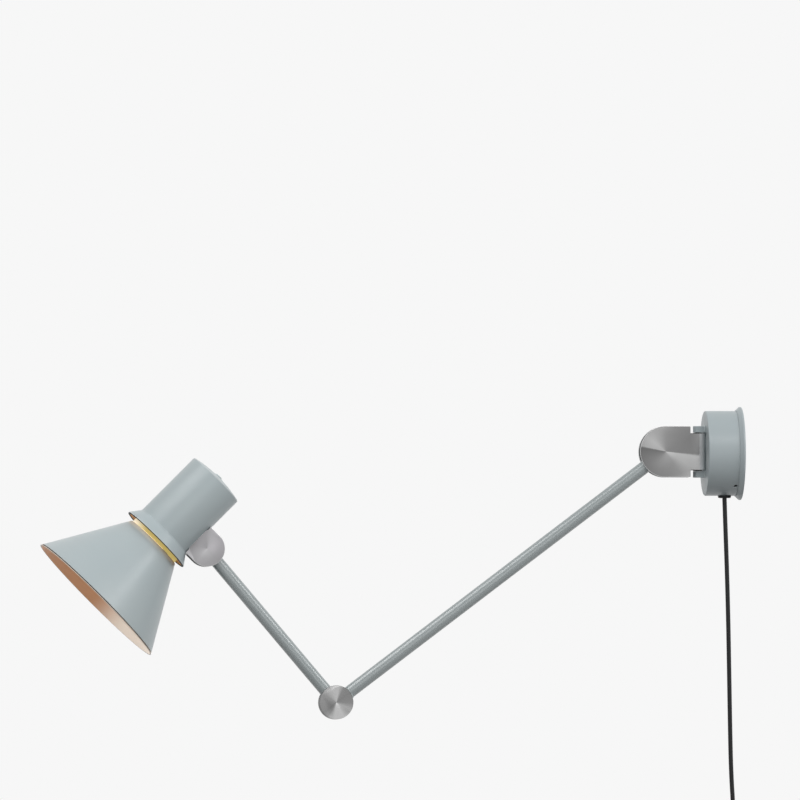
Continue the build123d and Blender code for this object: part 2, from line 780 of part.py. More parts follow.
shell_outer = holder_bore - seat_gap
shell_top = carrier_along - holder_floor - move_gap
with BuildPart() as thread_shell:
    with BuildSketch(head_cross.offset(shell_top)):
        Circle(shell_outer)
        Circle(shell_outer - shell_wall, mode=Mode.SUBTRACT)
    extrude(amount=-shell_length)
thread_shell.part.label = "thread_shell"
export_step(thread_shell.part, "parts/thread_shell.step")

cap_start = holder_rim - bulb_cap_show
with BuildPart() as bulb_cap:
    with BuildSketch(head_side):
        with BuildLine():
            Polyline(
                (0, cap_start),
                (bulb_cap_radius, cap_start),
                (bulb_cap_radius, cap_start + bulb_cap_length - bulb_contact_radius),
                (bulb_contact_radius, cap_start + bulb_cap_length),
                (0, shell_top),
                close=True,
            )
        make_face()
    revolve(axis=head_axis)
bulb_cap.part.label = "bulb_cap"
export_step(bulb_cap.part, "parts/bulb_cap.step")


def bulb_outline(inset):
    """Half outline of the bulb's glass, a ball on a short neck, drawn in by the inset."""
    ball = bulb_radius - inset
    neck = bulb_neck_radius - inset
    ball_centre = cap_start - bulb_length + bulb_radius
    waist = ball_centre + sqrt(ball * ball - neck * neck)
    with BuildLine() as outline:
        Line((0, cap_start), (0, ball_centre - ball))
        ThreePointArc((0, ball_centre - ball), (ball, ball_centre), (neck, waist))
        Line((neck, waist), (neck, cap_start))
        Line((neck, cap_start), (0, cap_start))
    return outline


with BuildPart() as bulb_glass:
    with BuildSketch(head_side):
        add(bulb_outline(0).line)
        make_face()
    revolve(axis=head_axis)
    with BuildSketch(head_side):
        add(bulb_outline(bulb_wall).line)
        make_face()
    revolve(axis=head_axis, mode=Mode.SUBTRACT)
bulb_glass.part.label = "bulb_glass"
export_step(bulb_glass.part, "parts/bulb_glass.step")

# head bracket: two round-ended plates and the saddle between them, on the lamp body
saddle_radius = body_radius + strip
with BuildPart() as head_bracket:
    with BuildSketch(head_side):
        with Locations((pivot_across, pivot_along)):
            Circle(head_plate_radius)
        with Locations(((pivot_across + body_inner) / 2, pivot_along)):
            Rectangle(pivot_across - body_inner, 2 * head_plate_radius)
    extrude(amount=head_bracket_width / 2, both=True)
    # the space between the plates, down to the saddle
    with BuildSketch(head_cross.offset(pivot_along)):
        with Locations((pivot_across, 0)):
            Rectangle(2 * head_plate_radius + 2 * strip, 2 * head_plate_inner)
        Circle(saddle_radius, mode=Mode.SUBTRACT)
    extrude(amount=head_plate_radius + strip, both=True, mode=Mode.SUBTRACT)
    with BuildSketch(head_cross.offset(pivot_along)):
        Circle(body_radius + running_gap)
    extrude(amount=head_plate_radius + strip, both=True, mode=Mode.SUBTRACT)
    with BuildSketch(Plane(origin=head_pivot, x_dir=(0, 1, 0), z_dir=-head_side_dir)):
        with GridLocations(1, bracket_screw_pitch, 1, 2):
            Circle(bracket_screw_radius + seat_gap)
        Circle(head_cable_radius)
    extrude(amount=pivot_across, mode=Mode.SUBTRACT)
head_bracket.part.label = "head_bracket"
export_step(head_bracket.part, "parts/head_bracket.step")

head_pin = cross_pin(head_pivot, head_plate_inner)
head_pin.part.label = "head_pin"
export_step(head_pin.part, "parts/head_pin.step")

screw_seat_radius = sqrt(body_inner**2 - bracket_screw_head**2) - running_gap
with BuildPart() as bracket_screws:
    for step in (-1, 1):
        screw_centre = rim_centre + head_axis_dir * (pivot_along + step * bracket_screw_pitch / 2)
        screw_seat = screw_centre + head_side_dir * screw_seat_radius
        with BuildSketch(Plane(origin=screw_seat, x_dir=(0, 1, 0), z_dir=head_side_dir)):
            Circle(bracket_screw_radius)
        extrude(amount=saddle_radius - screw_seat_radius)
        with BuildSketch(Plane(origin=screw_seat, x_dir=(0, 1, 0), z_dir=-head_side_dir)):
            Circle(bracket_screw_head)
        extrude(amount=bracket_screw_radius)
bracket_screws.part.label = "bracket_screws"
export_step(bracket_screws.part, "parts/bracket_screws.step")

# ---------------------------------------------------------------- push switch

body_ceiling = body_crown - body_wall
button_bore = button_radius + running_gap
button_floor = body_crown + button_show - button_length
with BuildPart() as switch_body:
    with BuildSketch(head_cross.offset(body_ceiling)):
        Circle(switch_radius)
    extrude(amount=-switch_length)
    with BuildSketch(head_cross.offset(body_ceiling)):
        Circle(bushing_radius)
    extrude(amount=body_wall + bezel)
    with BuildSketch(head_cross.offset(button_floor - button_travel - move_gap)):
        Circle(button_bore)
    extrude(amount=switch_length, mode=Mode.SUBTRACT)
switch_body.part.label = "switch_body"
export_step(switch_body.part, "parts/switch_body.step")

with BuildPart() as switch_bezel:
    with BuildSketch(head_cross.offset(body_crown)):
        Circle(bezel_radius)
        Circle(bushing_radius + seat_gap, mode=Mode.SUBTRACT)
    extrude(amount=bezel)
    chamfer(switch_bezel.edges().filter_by(GeomType.CIRCLE).group_by(head_axis)[-1], bezel / 4)
switch_bezel.part.label = "switch_bezel"
export_step(switch_bezel.part, "parts/switch_bezel.step")

with BuildPart() as switch_button:
    with BuildSketch(head_cross.offset(button_floor)):
        Circle(button_radius)
    extrude(amount=button_length)
    fillet(switch_button.edges().filter_by(GeomType.CIRCLE).group_by(head_axis)[-1], button_edge)
switch_button.part.label = "switch_button"
export_step(switch_button.part, "parts/switch_button.step")

# ---------------------------------------------------------------- cord

coil_turns = 10          # whole turns of the coil
coil_layers = 4
coil_pitch = 5.05        # from one turn to the next, and from layer to layer
coil_mean_radius = 25.5  # middle of the turns
coil_top = -356.0        # the coil hangs just under the edge of the picture
coil_first_layer = -7.4
straight_end = 2 * cord_radius

# a layer of turns winds in or out, and the layer is changed over half a turn
spiral_turns = (coil_turns - (coil_layers - 1) / 2) / coil_layers
reversal_turns = spiral_turns + 0.5
coil_outer = coil_mean_radius + coil_pitch * reversal_turns / 2
coil_centre = Vector(0, coil_outer, coil_top - coil_outer - cord_radius)
coil_start = Vector(coil_first_layer, 0, coil_centre.Z + straight_end)
coil_end = Vector(
    coil_first_layer - (coil_layers - 1) * coil_pitch, 0, coil_centre.Z - straight_end
)


def route_radii(points):
    """The arc at each corner of a free cord: as large as its two runs allow."""
    radii = []
    for before, corner, after in zip(points, points[1:], points[2:]):
        run_in = corner - before
        run_out = after - corner
        turn = radians(run_in.get_angle(run_out))
        radii.append(0.45 * min(run_in.length, run_out.length) / tan(turn / 2))
    return radii


def tube_along(route, radius, start, direction, node):
    """A round tube along a route, with its length and volume printed for comparison."""
    with BuildPart() as tube:
        with BuildSketch(Plane(origin=start, z_dir=direction)):
            Circle(radius)
        sweep(path=route.wires()[0])
    length = route.wires()[0].length
    print(node, "length", round(length, 2), "volume", round(tube.part.volume, 1),
          "section x length", round(pi * radius**2 * length, 1))
    return tube


cord_points = [
    Vector(gland_x, 0, gland_bottom),
    Vector(gland_x, 0, -76.0),
    Vector(-14.9, 0, -122.0),
    Vector(-13.6, 0, -175.0),
    Vector(-12.5, 0, -228.0),
    Vector(-11.3, 0, -278.0),
    Vector(-10.2, 0, -324.0),
    Vector(coil_first_layer, 0, -358.0),
    coil_start,
]
with BuildLine() as cord_route:
    FilletPolyline(*cord_points, radius=route_radii(cord_points))
print("cord radii", [round(r) for r in route_radii(cord_points)])
cord_drop = tube_along(
    cord_route, cord_radius, cord_points[0], cord_points[1] - cord_points[0], "cord_drop"
)
cord_drop.part.label = "cord_drop"
export_step(cord_drop.part, "parts/cord_drop.step")


def coil_place(turn):
    """A point of the coil, by turns from its start: in and out again, layer by layer."""
    span = reversal_turns
    along = turn + 0.5 / 2
    layer = min(int(along / span), coil_layers - 1)
    into = along - layer * span
    inward = layer % 2 == 0
    travelled = into if inward else span - into
    radius = coil_outer - coil_pitch * (travelled - 0.5 / 2)
    # the climb takes the quarter turn before and after each reversal
    climb = 0.0
    if layer > 0 and into < 0.25:
        climb = 0.5 * (into / 0.25) - 0.5
    if layer < coil_layers - 1 and into > span - 0.25:
        climb = 0.5 * (into - span + 0.25) / 0.25
    angle = 2 * pi * turn
    return Vector(
        coil_first_layer - coil_pitch * (layer + climb),
        coil_centre.Y - radius * cos(angle),
        coil_centre.Z - radius * sin(angle),
    )


def biarc(start, start_dir, end, end_dir):
    """Two arcs that join two points and meet both directions: their joint and its direction."""
    chord = end - start
    both = start_dir + end_dir
    spread = 2 * (1 - start_dir.dot(end_dir))
    reach = (-chord.dot(both) + sqrt(chord.dot(both) ** 2 + spread * chord.dot(chord))) / spread
    near = start + start_dir * reach
    far = end - end_dir * reach
    return (near + far) * 0.5, (far - near).normalized()


quarter_turns = 4 * coil_turns
down = Vector(0, 0, -1)
coil_points = [coil_place(k / 4) for k in range(quarter_turns + 1)]
coil_points[0] = Vector(coil_start.X, 0, coil_centre.Z)
coil_points[-1] = Vector(coil_end.X, 0, coil_centre.Z)
coil_dirs = [
    (coil_place((k + 0.5) / 4) - coil_place((k - 0.5) / 4)).normalized()
    for k in range(quarter_turns + 1)
]
coil_dirs[0] = down
coil_dirs[-1] = down

with BuildLine() as coil_route:
    Line(coil_start, coil_points[0])
    for k in range(quarter_turns):
        joint, joint_dir = biarc(
            coil_points[k], coil_dirs[k], coil_points[k + 1], coil_dirs[k + 1]
        )
        TangentArc(coil_points[k], joint, tangent=coil_dirs[k])
        TangentArc(joint, coil_points[k + 1], tangent=joint_dir)
    Line(coil_points[-1], coil_end)

coil_wire = coil_route.wires()[0]
gap_steps = 120 * coil_turns
coil_samples = [coil_wire.position_at(k / gap_steps) for k in range(gap_steps + 1)]
quarter_samples = gap_steps // quarter_turns
least_gap = min(
    (coil_samples[i] - coil_samples[j]).length
    for i in range(0, gap_steps + 1, 3)
    for j in range(i + quarter_samples, gap_steps + 1)
) - 2 * cord_radius
print("coil least gap to itself", round(least_gap, 2), "across", round(2 * coil_mean_radius, 1))

cord_coil = tube_along(coil_route, cord_radius, coil_start, down, "cord_coil")
cord_coil.part.label = "cord_coil"
export_step(cord_coil.part, "parts/cord_coil.step")

# a strap round the bundle of turns, on the side away from the plug
tie_wall = 1.2
tie_width = 9.0
tie_clear = 0.6
bundle_depth = (coil_layers - 1) * coil_pitch + 2 * (cord_radius + tie_clear)
bundle_radial = coil_pitch * reversal_turns + 2 * (cord_radius + tie_clear)
bundle_x = coil_first_layer - (coil_layers - 1) * coil_pitch / 2
tie_y = coil_centre.Y + coil_mean_radius
with BuildPart() as cord_tie:
    with BuildSketch(Plane.XY.offset(coil_centre.Z - tie_width / 2)):
        with Locations((bundle_x, tie_y)):
            RectangleRounded(
                bundle_depth + 2 * tie_wall, bundle_radial + 2 * tie_wall, cord_radius + tie_wall
            )
            RectangleRounded(bundle_depth, bundle_radial, cord_radius, mode=Mode.SUBTRACT)
    extrude(amount=tie_width)
cord_tie.part.label = "cord_tie"
export_step(cord_tie.part, "parts/cord_tie.step")

# plug: a flat two-pin plug that hangs from the coil's end
plug_drop = 44.0         # straight cord between the coil and the plug
plug_width = 35.3
plug_neck_width = 13.0
plug_thickness = 13.7
plug_length = 36.0
plug_shoulder = 17.0
plug_edge = 2.2
plug_pin_radius = 2.0
plug_pin_length = 19.0
plug_pin_pitch = 18.6
relief_length = 22.0      # tapered sleeve that keeps the cord from kinking at the plug
relief_base = 5.2
relief_tip = 3.3
plug_top = coil_end.Z - plug_drop
plug_face = plug_top - plug_length

with BuildLine() as tail_route:
    Line(coil_end, coil_end + down * plug_drop)
cord_tail = tube_along(tail_route, cord_radius, coil_end, down, "cord_tail")
cord_tail.part.label = "cord_tail"
export_step(cord_tail.part, "parts/cord_tail.step")

with BuildPart() as plug_body:
    with BuildSketch(Plane(origin=(coil_end.X, 0, 0), x_dir=(0, 1, 0), z_dir=(1, 0, 0))):
        with BuildLine():
            Polyline(
                (-plug_neck_width / 2, plug_top),
                (plug_neck_width / 2, plug_top),
                (plug_width / 2, plug_top - plug_shoulder),
                (plug_width / 2, plug_face),
                (-plug_width / 2, plug_face),
                (-plug_width / 2, plug_top - plug_shoulder),
                close=True,
            )
        make_face()
    extrude(amount=plug_thickness / 2, both=True)
    fillet(plug_body.edges().filter_by(Axis.X).group_by(Axis.Z)[-2:], plug_edge)
    fillet(plug_body.faces().filter_by(Axis.X).edges(), plug_edge)
plug_body.part.label = "plug_body"
export_step(plug_body.part, "parts/plug_body.step")

with BuildPart() as plug_relief:
    with BuildSketch(Plane(origin=(coil_end.X, 0, 0), x_dir=(0, 1, 0), z_dir=(1, 0, 0))):
        with BuildLine():
            Polyline(
                (cord_radius + seat_gap, plug_top),
                (relief_base, plug_top),
                (relief_tip, plug_top + relief_length),
                (cord_radius + seat_gap, plug_top + relief_length),
                close=True,
            )
        make_face()
    revolve(axis=Axis((coil_end.X, 0, 0), (0, 0, 1)))
plug_relief.part.label = "plug_relief"
export_step(plug_relief.part, "parts/plug_relief.step")

with BuildPart() as plug_pins:
    with BuildSketch(Plane.XY.offset(plug_face)):
        with Locations((coil_end.X, plug_pin_pitch / 2), (coil_end.X, -plug_pin_pitch / 2)):
            Circle(plug_pin_radius)
    extrude(amount=-plug_pin_length)
    fillet(plug_pins.edges().filter_by(GeomType.CIRCLE).group_by(Axis.Z)[0], plug_pin_radius / 2)
plug_pins.part.label = "plug_pins"
export_step(plug_pins.part, "parts/plug_pins.step")

visible_cord = sum(
    wire.wires()[0].length for wire in (cord_route, coil_route, tail_route)
)
print("free cord, gland to plug", round(visible_cord, 1))
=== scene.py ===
# %% [markdown]
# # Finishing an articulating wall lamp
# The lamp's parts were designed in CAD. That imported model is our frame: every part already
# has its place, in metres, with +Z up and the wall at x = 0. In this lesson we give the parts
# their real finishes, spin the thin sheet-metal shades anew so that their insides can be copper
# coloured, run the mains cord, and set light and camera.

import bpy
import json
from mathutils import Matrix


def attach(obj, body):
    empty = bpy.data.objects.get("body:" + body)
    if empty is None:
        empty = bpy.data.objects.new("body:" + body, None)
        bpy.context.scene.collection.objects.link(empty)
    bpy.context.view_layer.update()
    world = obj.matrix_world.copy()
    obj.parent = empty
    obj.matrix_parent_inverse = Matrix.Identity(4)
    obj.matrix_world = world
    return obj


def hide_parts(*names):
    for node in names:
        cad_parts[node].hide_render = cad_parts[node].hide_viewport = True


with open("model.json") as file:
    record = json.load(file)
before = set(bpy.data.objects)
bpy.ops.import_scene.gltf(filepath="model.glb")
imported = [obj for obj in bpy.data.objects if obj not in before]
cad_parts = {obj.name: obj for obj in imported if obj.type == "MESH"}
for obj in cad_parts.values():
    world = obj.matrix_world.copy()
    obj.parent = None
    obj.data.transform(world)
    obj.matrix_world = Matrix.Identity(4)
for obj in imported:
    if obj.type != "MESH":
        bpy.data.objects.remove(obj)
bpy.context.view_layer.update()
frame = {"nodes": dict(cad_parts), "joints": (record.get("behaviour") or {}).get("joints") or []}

# %% [markdown]
# ## Two small tools
# Paint charts and photographs give colours in sRGB, but the renderer adds light in linear
# values, so one function turns a hex colour to linear. The other adds a node to a tree, sets it
# and links it in one line. That keeps a material readable as a short recipe.

# %% Colour and node tools
import json
from math import asin, cos, pi, radians, sin, tan

import bmesh
import bpy
from mathutils import Matrix, Vector

MM = 0.001
nodes = frame["nodes"]
scene = bpy.context.scene


def linear(srgb_hex, alpha=1.0):
    """A hex colour such as #b3bdbf as linear red, green, blue and alpha, by the sRGB
    standard's own curve."""
    out = []
    for start in (1, 3, 5):
        value = int(srgb_hex[start:start + 2], 16) / 255
        out.append(value / 12.92 if value <= 0.04045 else ((value + 0.055) / 1.055) ** 2.4)
    return (*out, alpha)


def add_node(tree, kind, settings=None, links=None):
    """Adds a node, sets its properties, sockets or colour stops, and links its inputs."""
    node = tree.nodes.new(kind)
    for name, value in (settings or {}).items():
        if name == "stops":
            stops = node.color_ramp.elements
            while len(stops) < len(value):
                stops.new(0.5)   # its own place is set below
            for stop, (place, colour) in zip(stops, value):
                stop.position = place
                stop.color = linear(colour) if isinstance(colour, str) else (*[colour] * 3, 1)
        elif isinstance(name, str) and hasattr(node, name):
            setattr(node, name, value)
        else:
            node.inputs[name].default_value = value
    for name, source in (links or {}).items():
        tree.links.new(source, node.inputs[name])
    return node


print("pale paint #b3bdbf in linear values:", [round(c, 3) for c in linear("#b3bdbf")])

# %% [markdown]
# ## Places
# The joints tell where the lamp turns. The shade and the lamp body are turned parts on one
# axis, which stands at 45 degrees at rest. We work along that axis from the plane of the
# shade's rim, and a placing matrix carries what we spin there to its place on the lamp.

# %% Pivots and the head's axis
joint_mm = {j["name"]: Vector(j["pos_m"]) / MM for j in frame["joints"] if "pos_m" in j}
wall_pivot = joint_mm["arm_tilt"]
elbow = joint_mm["elbow"]
head_pivot = joint_mm["head_tilt"]

HEAD_ANGLE = radians(45)
PIVOT_ALONG = 114.59   # from the rim's plane to the head's pivot, along the axis
PIVOT_ACROSS = 42.0    # from the axis to the pivot
head_up = Vector((cos(HEAD_ANGLE), 0, sin(HEAD_ANGLE)))
head_side = Vector((sin(HEAD_ANGLE), 0, -cos(HEAD_ANGLE)))
rim_centre = head_pivot - head_up * PIVOT_ALONG - head_side * PIVOT_ACROSS
head_turn = Matrix((head_side, head_up.cross(head_side), head_up)).transposed().to_4x4()
head_place = Matrix.Translation(rim_centre) @ head_turn
print("wall pivot", wall_pivot, "elbow", elbow, "rim centre", rim_centre)

# %% [markdown]
# ## Camera
# A product photographer stands far away with a long lens, so that the two arms keep their
# true lengths. Here the camera is 18 m off, a little to the left of square and a little below
# the lamp. At that distance an 810 mm lens makes one pixel of the picture one millimetre.

# %% Camera
CAMERA_AZIMUTH, CAMERA_ELEVATION = radians(-5.6), radians(-1.75)
CAMERA_DISTANCE = 18.0
FRAME_WIDTH = 0.8      # metres that the picture shows at the lamp
SENSOR_WIDTH = 36.0
FARTHEST_SEEN = 80     # metres, past the far edge of the floor
camera_target = Vector((-0.34274, 0.0, 0.0526))   # what lies in the middle of the picture
# a unit vector from the lamp to the camera
towards_camera = Vector((
    sin(CAMERA_AZIMUTH) * cos(CAMERA_ELEVATION),
    -cos(CAMERA_AZIMUTH) * cos(CAMERA_ELEVATION),
    sin(CAMERA_ELEVATION),
))
camera_data = bpy.data.cameras.new("camera")
camera_data.sensor_width = SENSOR_WIDTH
camera_data.lens = SENSOR_WIDTH * CAMERA_DISTANCE / FRAME_WIDTH
camera_data.clip_end = FARTHEST_SEEN
camera = bpy.data.objects.new("camera", camera_data)
scene.collection.objects.link(camera)
camera.location = camera_target + towards_camera * CAMERA_DISTANCE
camera.rotation_euler = (-towards_camera).to_track_quat("-Z", "Y").to_euler()
scene.camera = camera
print("lens", round(camera_data.lens), "mm")

# %% [markdown]
# ## Light
# The picture shows a broad soft light overhead: every round part is brightest a third of the
# way down from its upper edge and darkest underneath. Two panels high in front make that
# light, the stronger one to the right, as the cone's brightest line tells. Two strips, one to
# each side, draw the crisp lines on the arms, and weak panels in front and low on the right
# lift the rest. Their powers were first found by rendering each alone and adding up the
# pictures, and then trimmed against the photograph.

# %% Lamps
LAMP_AIM = Vector((-0.36, 0, -0.05))   # between the shade and the arms


def soft_panel(name, place, size, watts):
    """A rectangular studio light that looks at the lamp."""
    data = bpy.data.lights.new(name, "AREA")
    data.shape = "RECTANGLE"
    data.size, data.size_y = size
    data.energy = watts
    panel = bpy.data.objects.new(name, data)
    scene.collection.objects.link(panel)
    panel.location = place
    panel.rotation_euler = (LAMP_AIM - Vector(place)).to_track_quat("-Z", "Y").to_euler()
    print(name, "at", place, watts, "W")


# each panel's name, place and size in metres, and power in watts
soft_panel("high_right_panel", (0.6, -1.9, 1.5), (1.6, 1.0), 13)
soft_panel("high_left_panel", (-1.6, -1.4, 1.6), (1.2, 1.0), 8)
soft_panel("left_strip", (-1.7, -0.6, 1.9), (1.2, 0.5), 6)
soft_panel("right_strip", (1.7, -1.0, 1.2), (1.0, 0.6), 8)
soft_panel("low_right_panel", (2.2, -1.6, -0.1), (1.0, 1.2), 6)
soft_panel("front_panel", (-0.4, -3.2, 0.2), (1.6, 1.6), 7.5)

# %% [markdown]
# ## World and floor
# The picture's ground is a plain near-white. Light Path tells the world which rays look
# straight at it, or by way of metal and glass: those see the near-white. The other rays, which
# light the paint, get a studio that is bright above and dim below, as over a dark bench. The
# floor is pale and plain, lies below the lowest point that the head can reach, and is only
# scenery.

# %% World
world = bpy.data.worlds.new("studio")
scene.world = world
world.use_nodes = True
studio = world.node_tree
studio.nodes.clear()
GROUND = "#f7f7f7"
DIM_BELOW, BRIGHT_ABOVE = 0.14, 0.46        # the studio's light under and over the horizon
HORIZON_FROM, HORIZON_TO = 0.45, 0.55       # between straight down at 0 and straight up at 1
ray = add_node(studio, "ShaderNodeLightPath")
glossy_too = add_node(studio, "ShaderNodeMath", {"operation": "MAXIMUM"},
                      {0: ray.outputs["Is Camera Ray"], 1: ray.outputs["Is Glossy Ray"]})
looking = add_node(studio, "ShaderNodeMath", {"operation": "MAXIMUM"},
                   {0: glossy_too.outputs[0], 1: ray.outputs["Is Transmission Ray"]})
direction = add_node(studio, "ShaderNodeTexCoord")
height = add_node(studio, "ShaderNodeSeparateXYZ", None, {0: direction.outputs["Generated"]})
level = add_node(studio, "ShaderNodeMapRange", {"From Min": -1.0, "From Max": 1.0},
                 {"Value": height.outputs["Z"]})
dome = add_node(studio, "ShaderNodeValToRGB",
                {"stops": ((HORIZON_FROM, DIM_BELOW), (HORIZON_TO, BRIGHT_ABOVE))},
                {"Fac": level.outputs[0]})
room = add_node(studio, "ShaderNodeBackground", {"Strength": 1.0},
                {"Color": dome.outputs["Color"]})
ground = add_node(studio, "ShaderNodeBackground", {"Color": linear(GROUND), "Strength": 1.0})
choose = add_node(studio, "ShaderNodeMixShader", None,
                  {0: looking.outputs[0], 1: room.outputs[0], 2: ground.outputs[0]})
add_node(studio, "ShaderNodeOutputWorld", None, {"Surface": choose.outputs[0]})
scene.view_settings.view_transform = "Standard"   # a chosen colour comes out as it is
print("light from", DIM_BELOW, "below to", BRIGHT_ABOVE, "above")

# %% Floor
FLOOR_LEVEL = -0.88
FLOOR_REACH = 30       # metres from its middle to each edge
FLOOR_GLOW = 0.9       # share of the ground's own near-white, the rest shows the shadow
floor_mesh = bmesh.new()
bmesh.ops.create_grid(floor_mesh, x_segments=1, y_segments=1, size=FLOOR_REACH,
                      matrix=Matrix.Translation((0, 0, FLOOR_LEVEL)))
floor_data = bpy.data.meshes.new("floor")
floor_mesh.to_mesh(floor_data)
floor_mesh.free()
floor = bpy.data.objects.new("floor", floor_data)
scene.collection.objects.link(floor)
floor.visible_diffuse = False   # it takes the lamp's shadow but throws no light back up

floor_finish = bpy.data.materials.new("pale_floor")
floor_finish.use_nodes = True
tree = floor_finish.node_tree
tree.nodes.clear()
matte = add_node(tree, "ShaderNodeBsdfDiffuse", {"Color": linear("#e9e9e9")})
glow = add_node(tree, "ShaderNodeEmission", {"Color": linear(GROUND), "Strength": 1.0})
faint_shadow = add_node(tree, "ShaderNodeMixShader", {0: FLOOR_GLOW},
                        {1: matte.outputs[0], 2: glow.outputs[0]})
add_node(tree, "ShaderNodeOutputMaterial", None, {"Surface": faint_shadow.outputs[0]})
floor_data.materials.append(floor_finish)
print("floor at", FLOOR_LEVEL)

# %% [markdown]
# ## Powder coat
# The drum, the arms, the shade and the lamp body are steel and aluminium with a satin powder
# coat, baked on from a sprayed powder. Baked powder flows out into a faint orange peel with
# bumps under a millimetre across, and its colour and gloss drift slightly over a hand's
# breadth. To the eye that is an even, soft sheen whose edge is a little blurred. The peel is
# too fine for the picture, so it is drawn 1.2 mm wide and very shallow.

# %% Powder coat
LOW_AT, HIGH_AT = 0.3, 0.7     # where a noise, which runs from 0 to 1, mostly starts and ends
COLOUR_DRIFT, GLOSS_DRIFT = 90, 14      # mm
PEEL_WIDTH, PEEL_DEPTH = 1.2, 0.02      # mm
LIT_SHARE = 0.75               # how much of a lit band's own colour shows where it is full


def start_finish(name, colour, roughness, metallic=0.0, **sockets):
    """A new material with its constants set on the shader's own sockets."""
    finish = bpy.data.materials.new(name)
    finish.use_nodes = True
    shader = finish.node_tree.nodes["Principled BSDF"]
    shader.inputs["Base Color"].default_value = linear(colour)
    shader.inputs["Roughness"].default_value = roughness
    shader.inputs["Metallic"].default_value = metallic
    for socket, value in sockets.items():
        shader.inputs[socket.replace("_", " ")].default_value = value
    place = add_node(finish.node_tree, "ShaderNodeTexCoord").outputs["Object"]
    return finish, finish.node_tree, shader, place


def grain(size_mm):
    """The scale at which a noise has features of a size in millimetres."""
    return 1 / (size_mm * MM)


def powder_coat(name, low, high, gloss_low, gloss_high, peel_strength=0.04, lit_band=None,
                **sockets):
    """Satin powder coat between two nearly equal colours and two nearly equal glosses. A lit
    band up the head's axis takes a paler colour, and other sockets are set as given."""
    finish, tree, shader, place = start_finish(name, low, gloss_low, **sockets)
    drift = add_node(tree, "ShaderNodeTexNoise", {"Scale": grain(COLOUR_DRIFT), "Detail": 2.0},
                     {"Vector": place})
    tint = add_node(tree, "ShaderNodeValToRGB", {"stops": ((LOW_AT, low), (HIGH_AT, high))},
                    {"Fac": drift.outputs["Fac"]})
    haze = add_node(tree, "ShaderNodeTexNoise", {"Scale": grain(GLOSS_DRIFT), "Detail": 3.0},
                    {"Vector": place})
    gloss = add_node(tree, "ShaderNodeValToRGB",
                     {"stops": ((LOW_AT, gloss_low), (HIGH_AT, gloss_high))},
                     {"Fac": haze.outputs["Fac"]})
    peel = add_node(tree, "ShaderNodeTexNoise", {"Scale": grain(PEEL_WIDTH), "Detail": 2.0},
                    {"Vector": place})
    bumps = add_node(tree, "ShaderNodeBump",
                     {"Strength": peel_strength, "Distance": PEEL_DEPTH * MM},
                     {"Height": peel.outputs["Fac"]})
    colour = tint.outputs["Color"]
    if lit_band is not None:
        # how far up the head's axis a point is, as a share of the band from its foot to its top
        foot, top, lit = lit_band
        up_axis = add_node(tree, "ShaderNodeVectorMath",
                           {"operation": "DOT_PRODUCT", 1: tuple(head_up)}, {0: place})
        start = rim_centre.dot(head_up)
        share = add_node(tree, "ShaderNodeMapRange",
                         {"interpolation_type": "SMOOTHSTEP", "From Min": (start + foot) * MM,
                          "From Max": (start + top) * MM, "To Max": LIT_SHARE},
                         {"Value": up_axis.outputs["Value"]})
        paler = add_node(tree, "ShaderNodeMix", {"data_type": "RGBA", "B": linear(lit)},
                         {"Factor": share.outputs[0], "A": colour})
        colour = paler.outputs["Result"]
    tree.links.new(colour, shader.inputs["Base Color"])
    tree.links.new(gloss.outputs["Color"], shader.inputs["Roughness"])
    tree.links.new(bumps.outputs["Normal"], shader.inputs["Normal"])
    print(name, low, "to", high)
    return finish


print("peel drawn", PEEL_WIDTH, "mm wide")

# %% [markdown]
# ## This lamp's coats
# The shade's coat is the palest and bluest, and the wall drum's is a little darker, with a more
# matt front that is painted darker still as painted shade. The arms have a smoother, glossier
# coat, on which the strip lights draw crisp lines. A near-black coat in a turned-in seam is
# painted shade, and a pale coat on an edge is a painted highlight.

# %% Coats
shade_coat = powder_coat("satin_powder_coat_pale_blue_grey", "#b7c3c6", "#bbc6c8", 0.28, 0.34)
drum_coat = powder_coat("satin_powder_coat_wall_drum", "#aab5b8", "#adb7ba", 0.30, 0.38)
# painted shade: the drum's front is a darker copy of its coat, for the faces that look forwards
drum_front = powder_coat("satin_powder_coat_drum_front_in_painted_shade", "#9aa4a7", "#9da7aa", 0.34, 0.42)
arm_coat = powder_coat("satin_powder_coat_arms", "#9ca5a6", "#9fa8a9", 0.18, 0.22, 0.01,
                       Coat_Weight=0.8, Coat_Roughness=0.10)
# painted shade: a near-black coat for turned-in seams and edges
seam_shadow = powder_coat("powder_coat_painted_shade_in_a_seam", "#1c2222", "#242a2a", 0.6, 0.7)
# painted highlight: a pale coat for eased and rounded edges
edge_highlight_coat = powder_coat("powder_coat_painted_highlight_on_an_edge", "#cbd3d5", "#d2d9da", 0.32, 0.40)

# %% [markdown]
# ## Stainless steel brushed in circles
# The bracket plates and the elbow's discs are stainless sheet that turned under an abrasive
# belt, so fine grooves run round the pivot. Light leaves such grooves in fans: bright wedges
# opposite each other with dark ones between. Real grooves are finer than the picture can show,
# so we draw them as rings of noise 0.25 mm apart and stretch the highlight along them. The fan
# is a painted reflection: the steel round the pivot is tinted in the wedges that the overhead
# panel would show. Steel is a metal, so it keeps the default IOR.

# %% Brushed steel
GROOVE_WIDTH, GROOVE_DEPTH = 0.25, 0.03     # mm
GROOVE_SHADE = 0.90    # the darkest groove, as a share of the steel's own grey
WAVER_WIDTH = 1.2      # mm from one waver of a wedge's edge to the next
WAVER = 0.010          # turns, of which the noise mostly uses 0.4
FOLD_BLEND = 1.5       # mm over which the plate's fan gives way to the fold
FOLD_MATT = 0.9        # how far the fold is from bare metal towards a matt surface


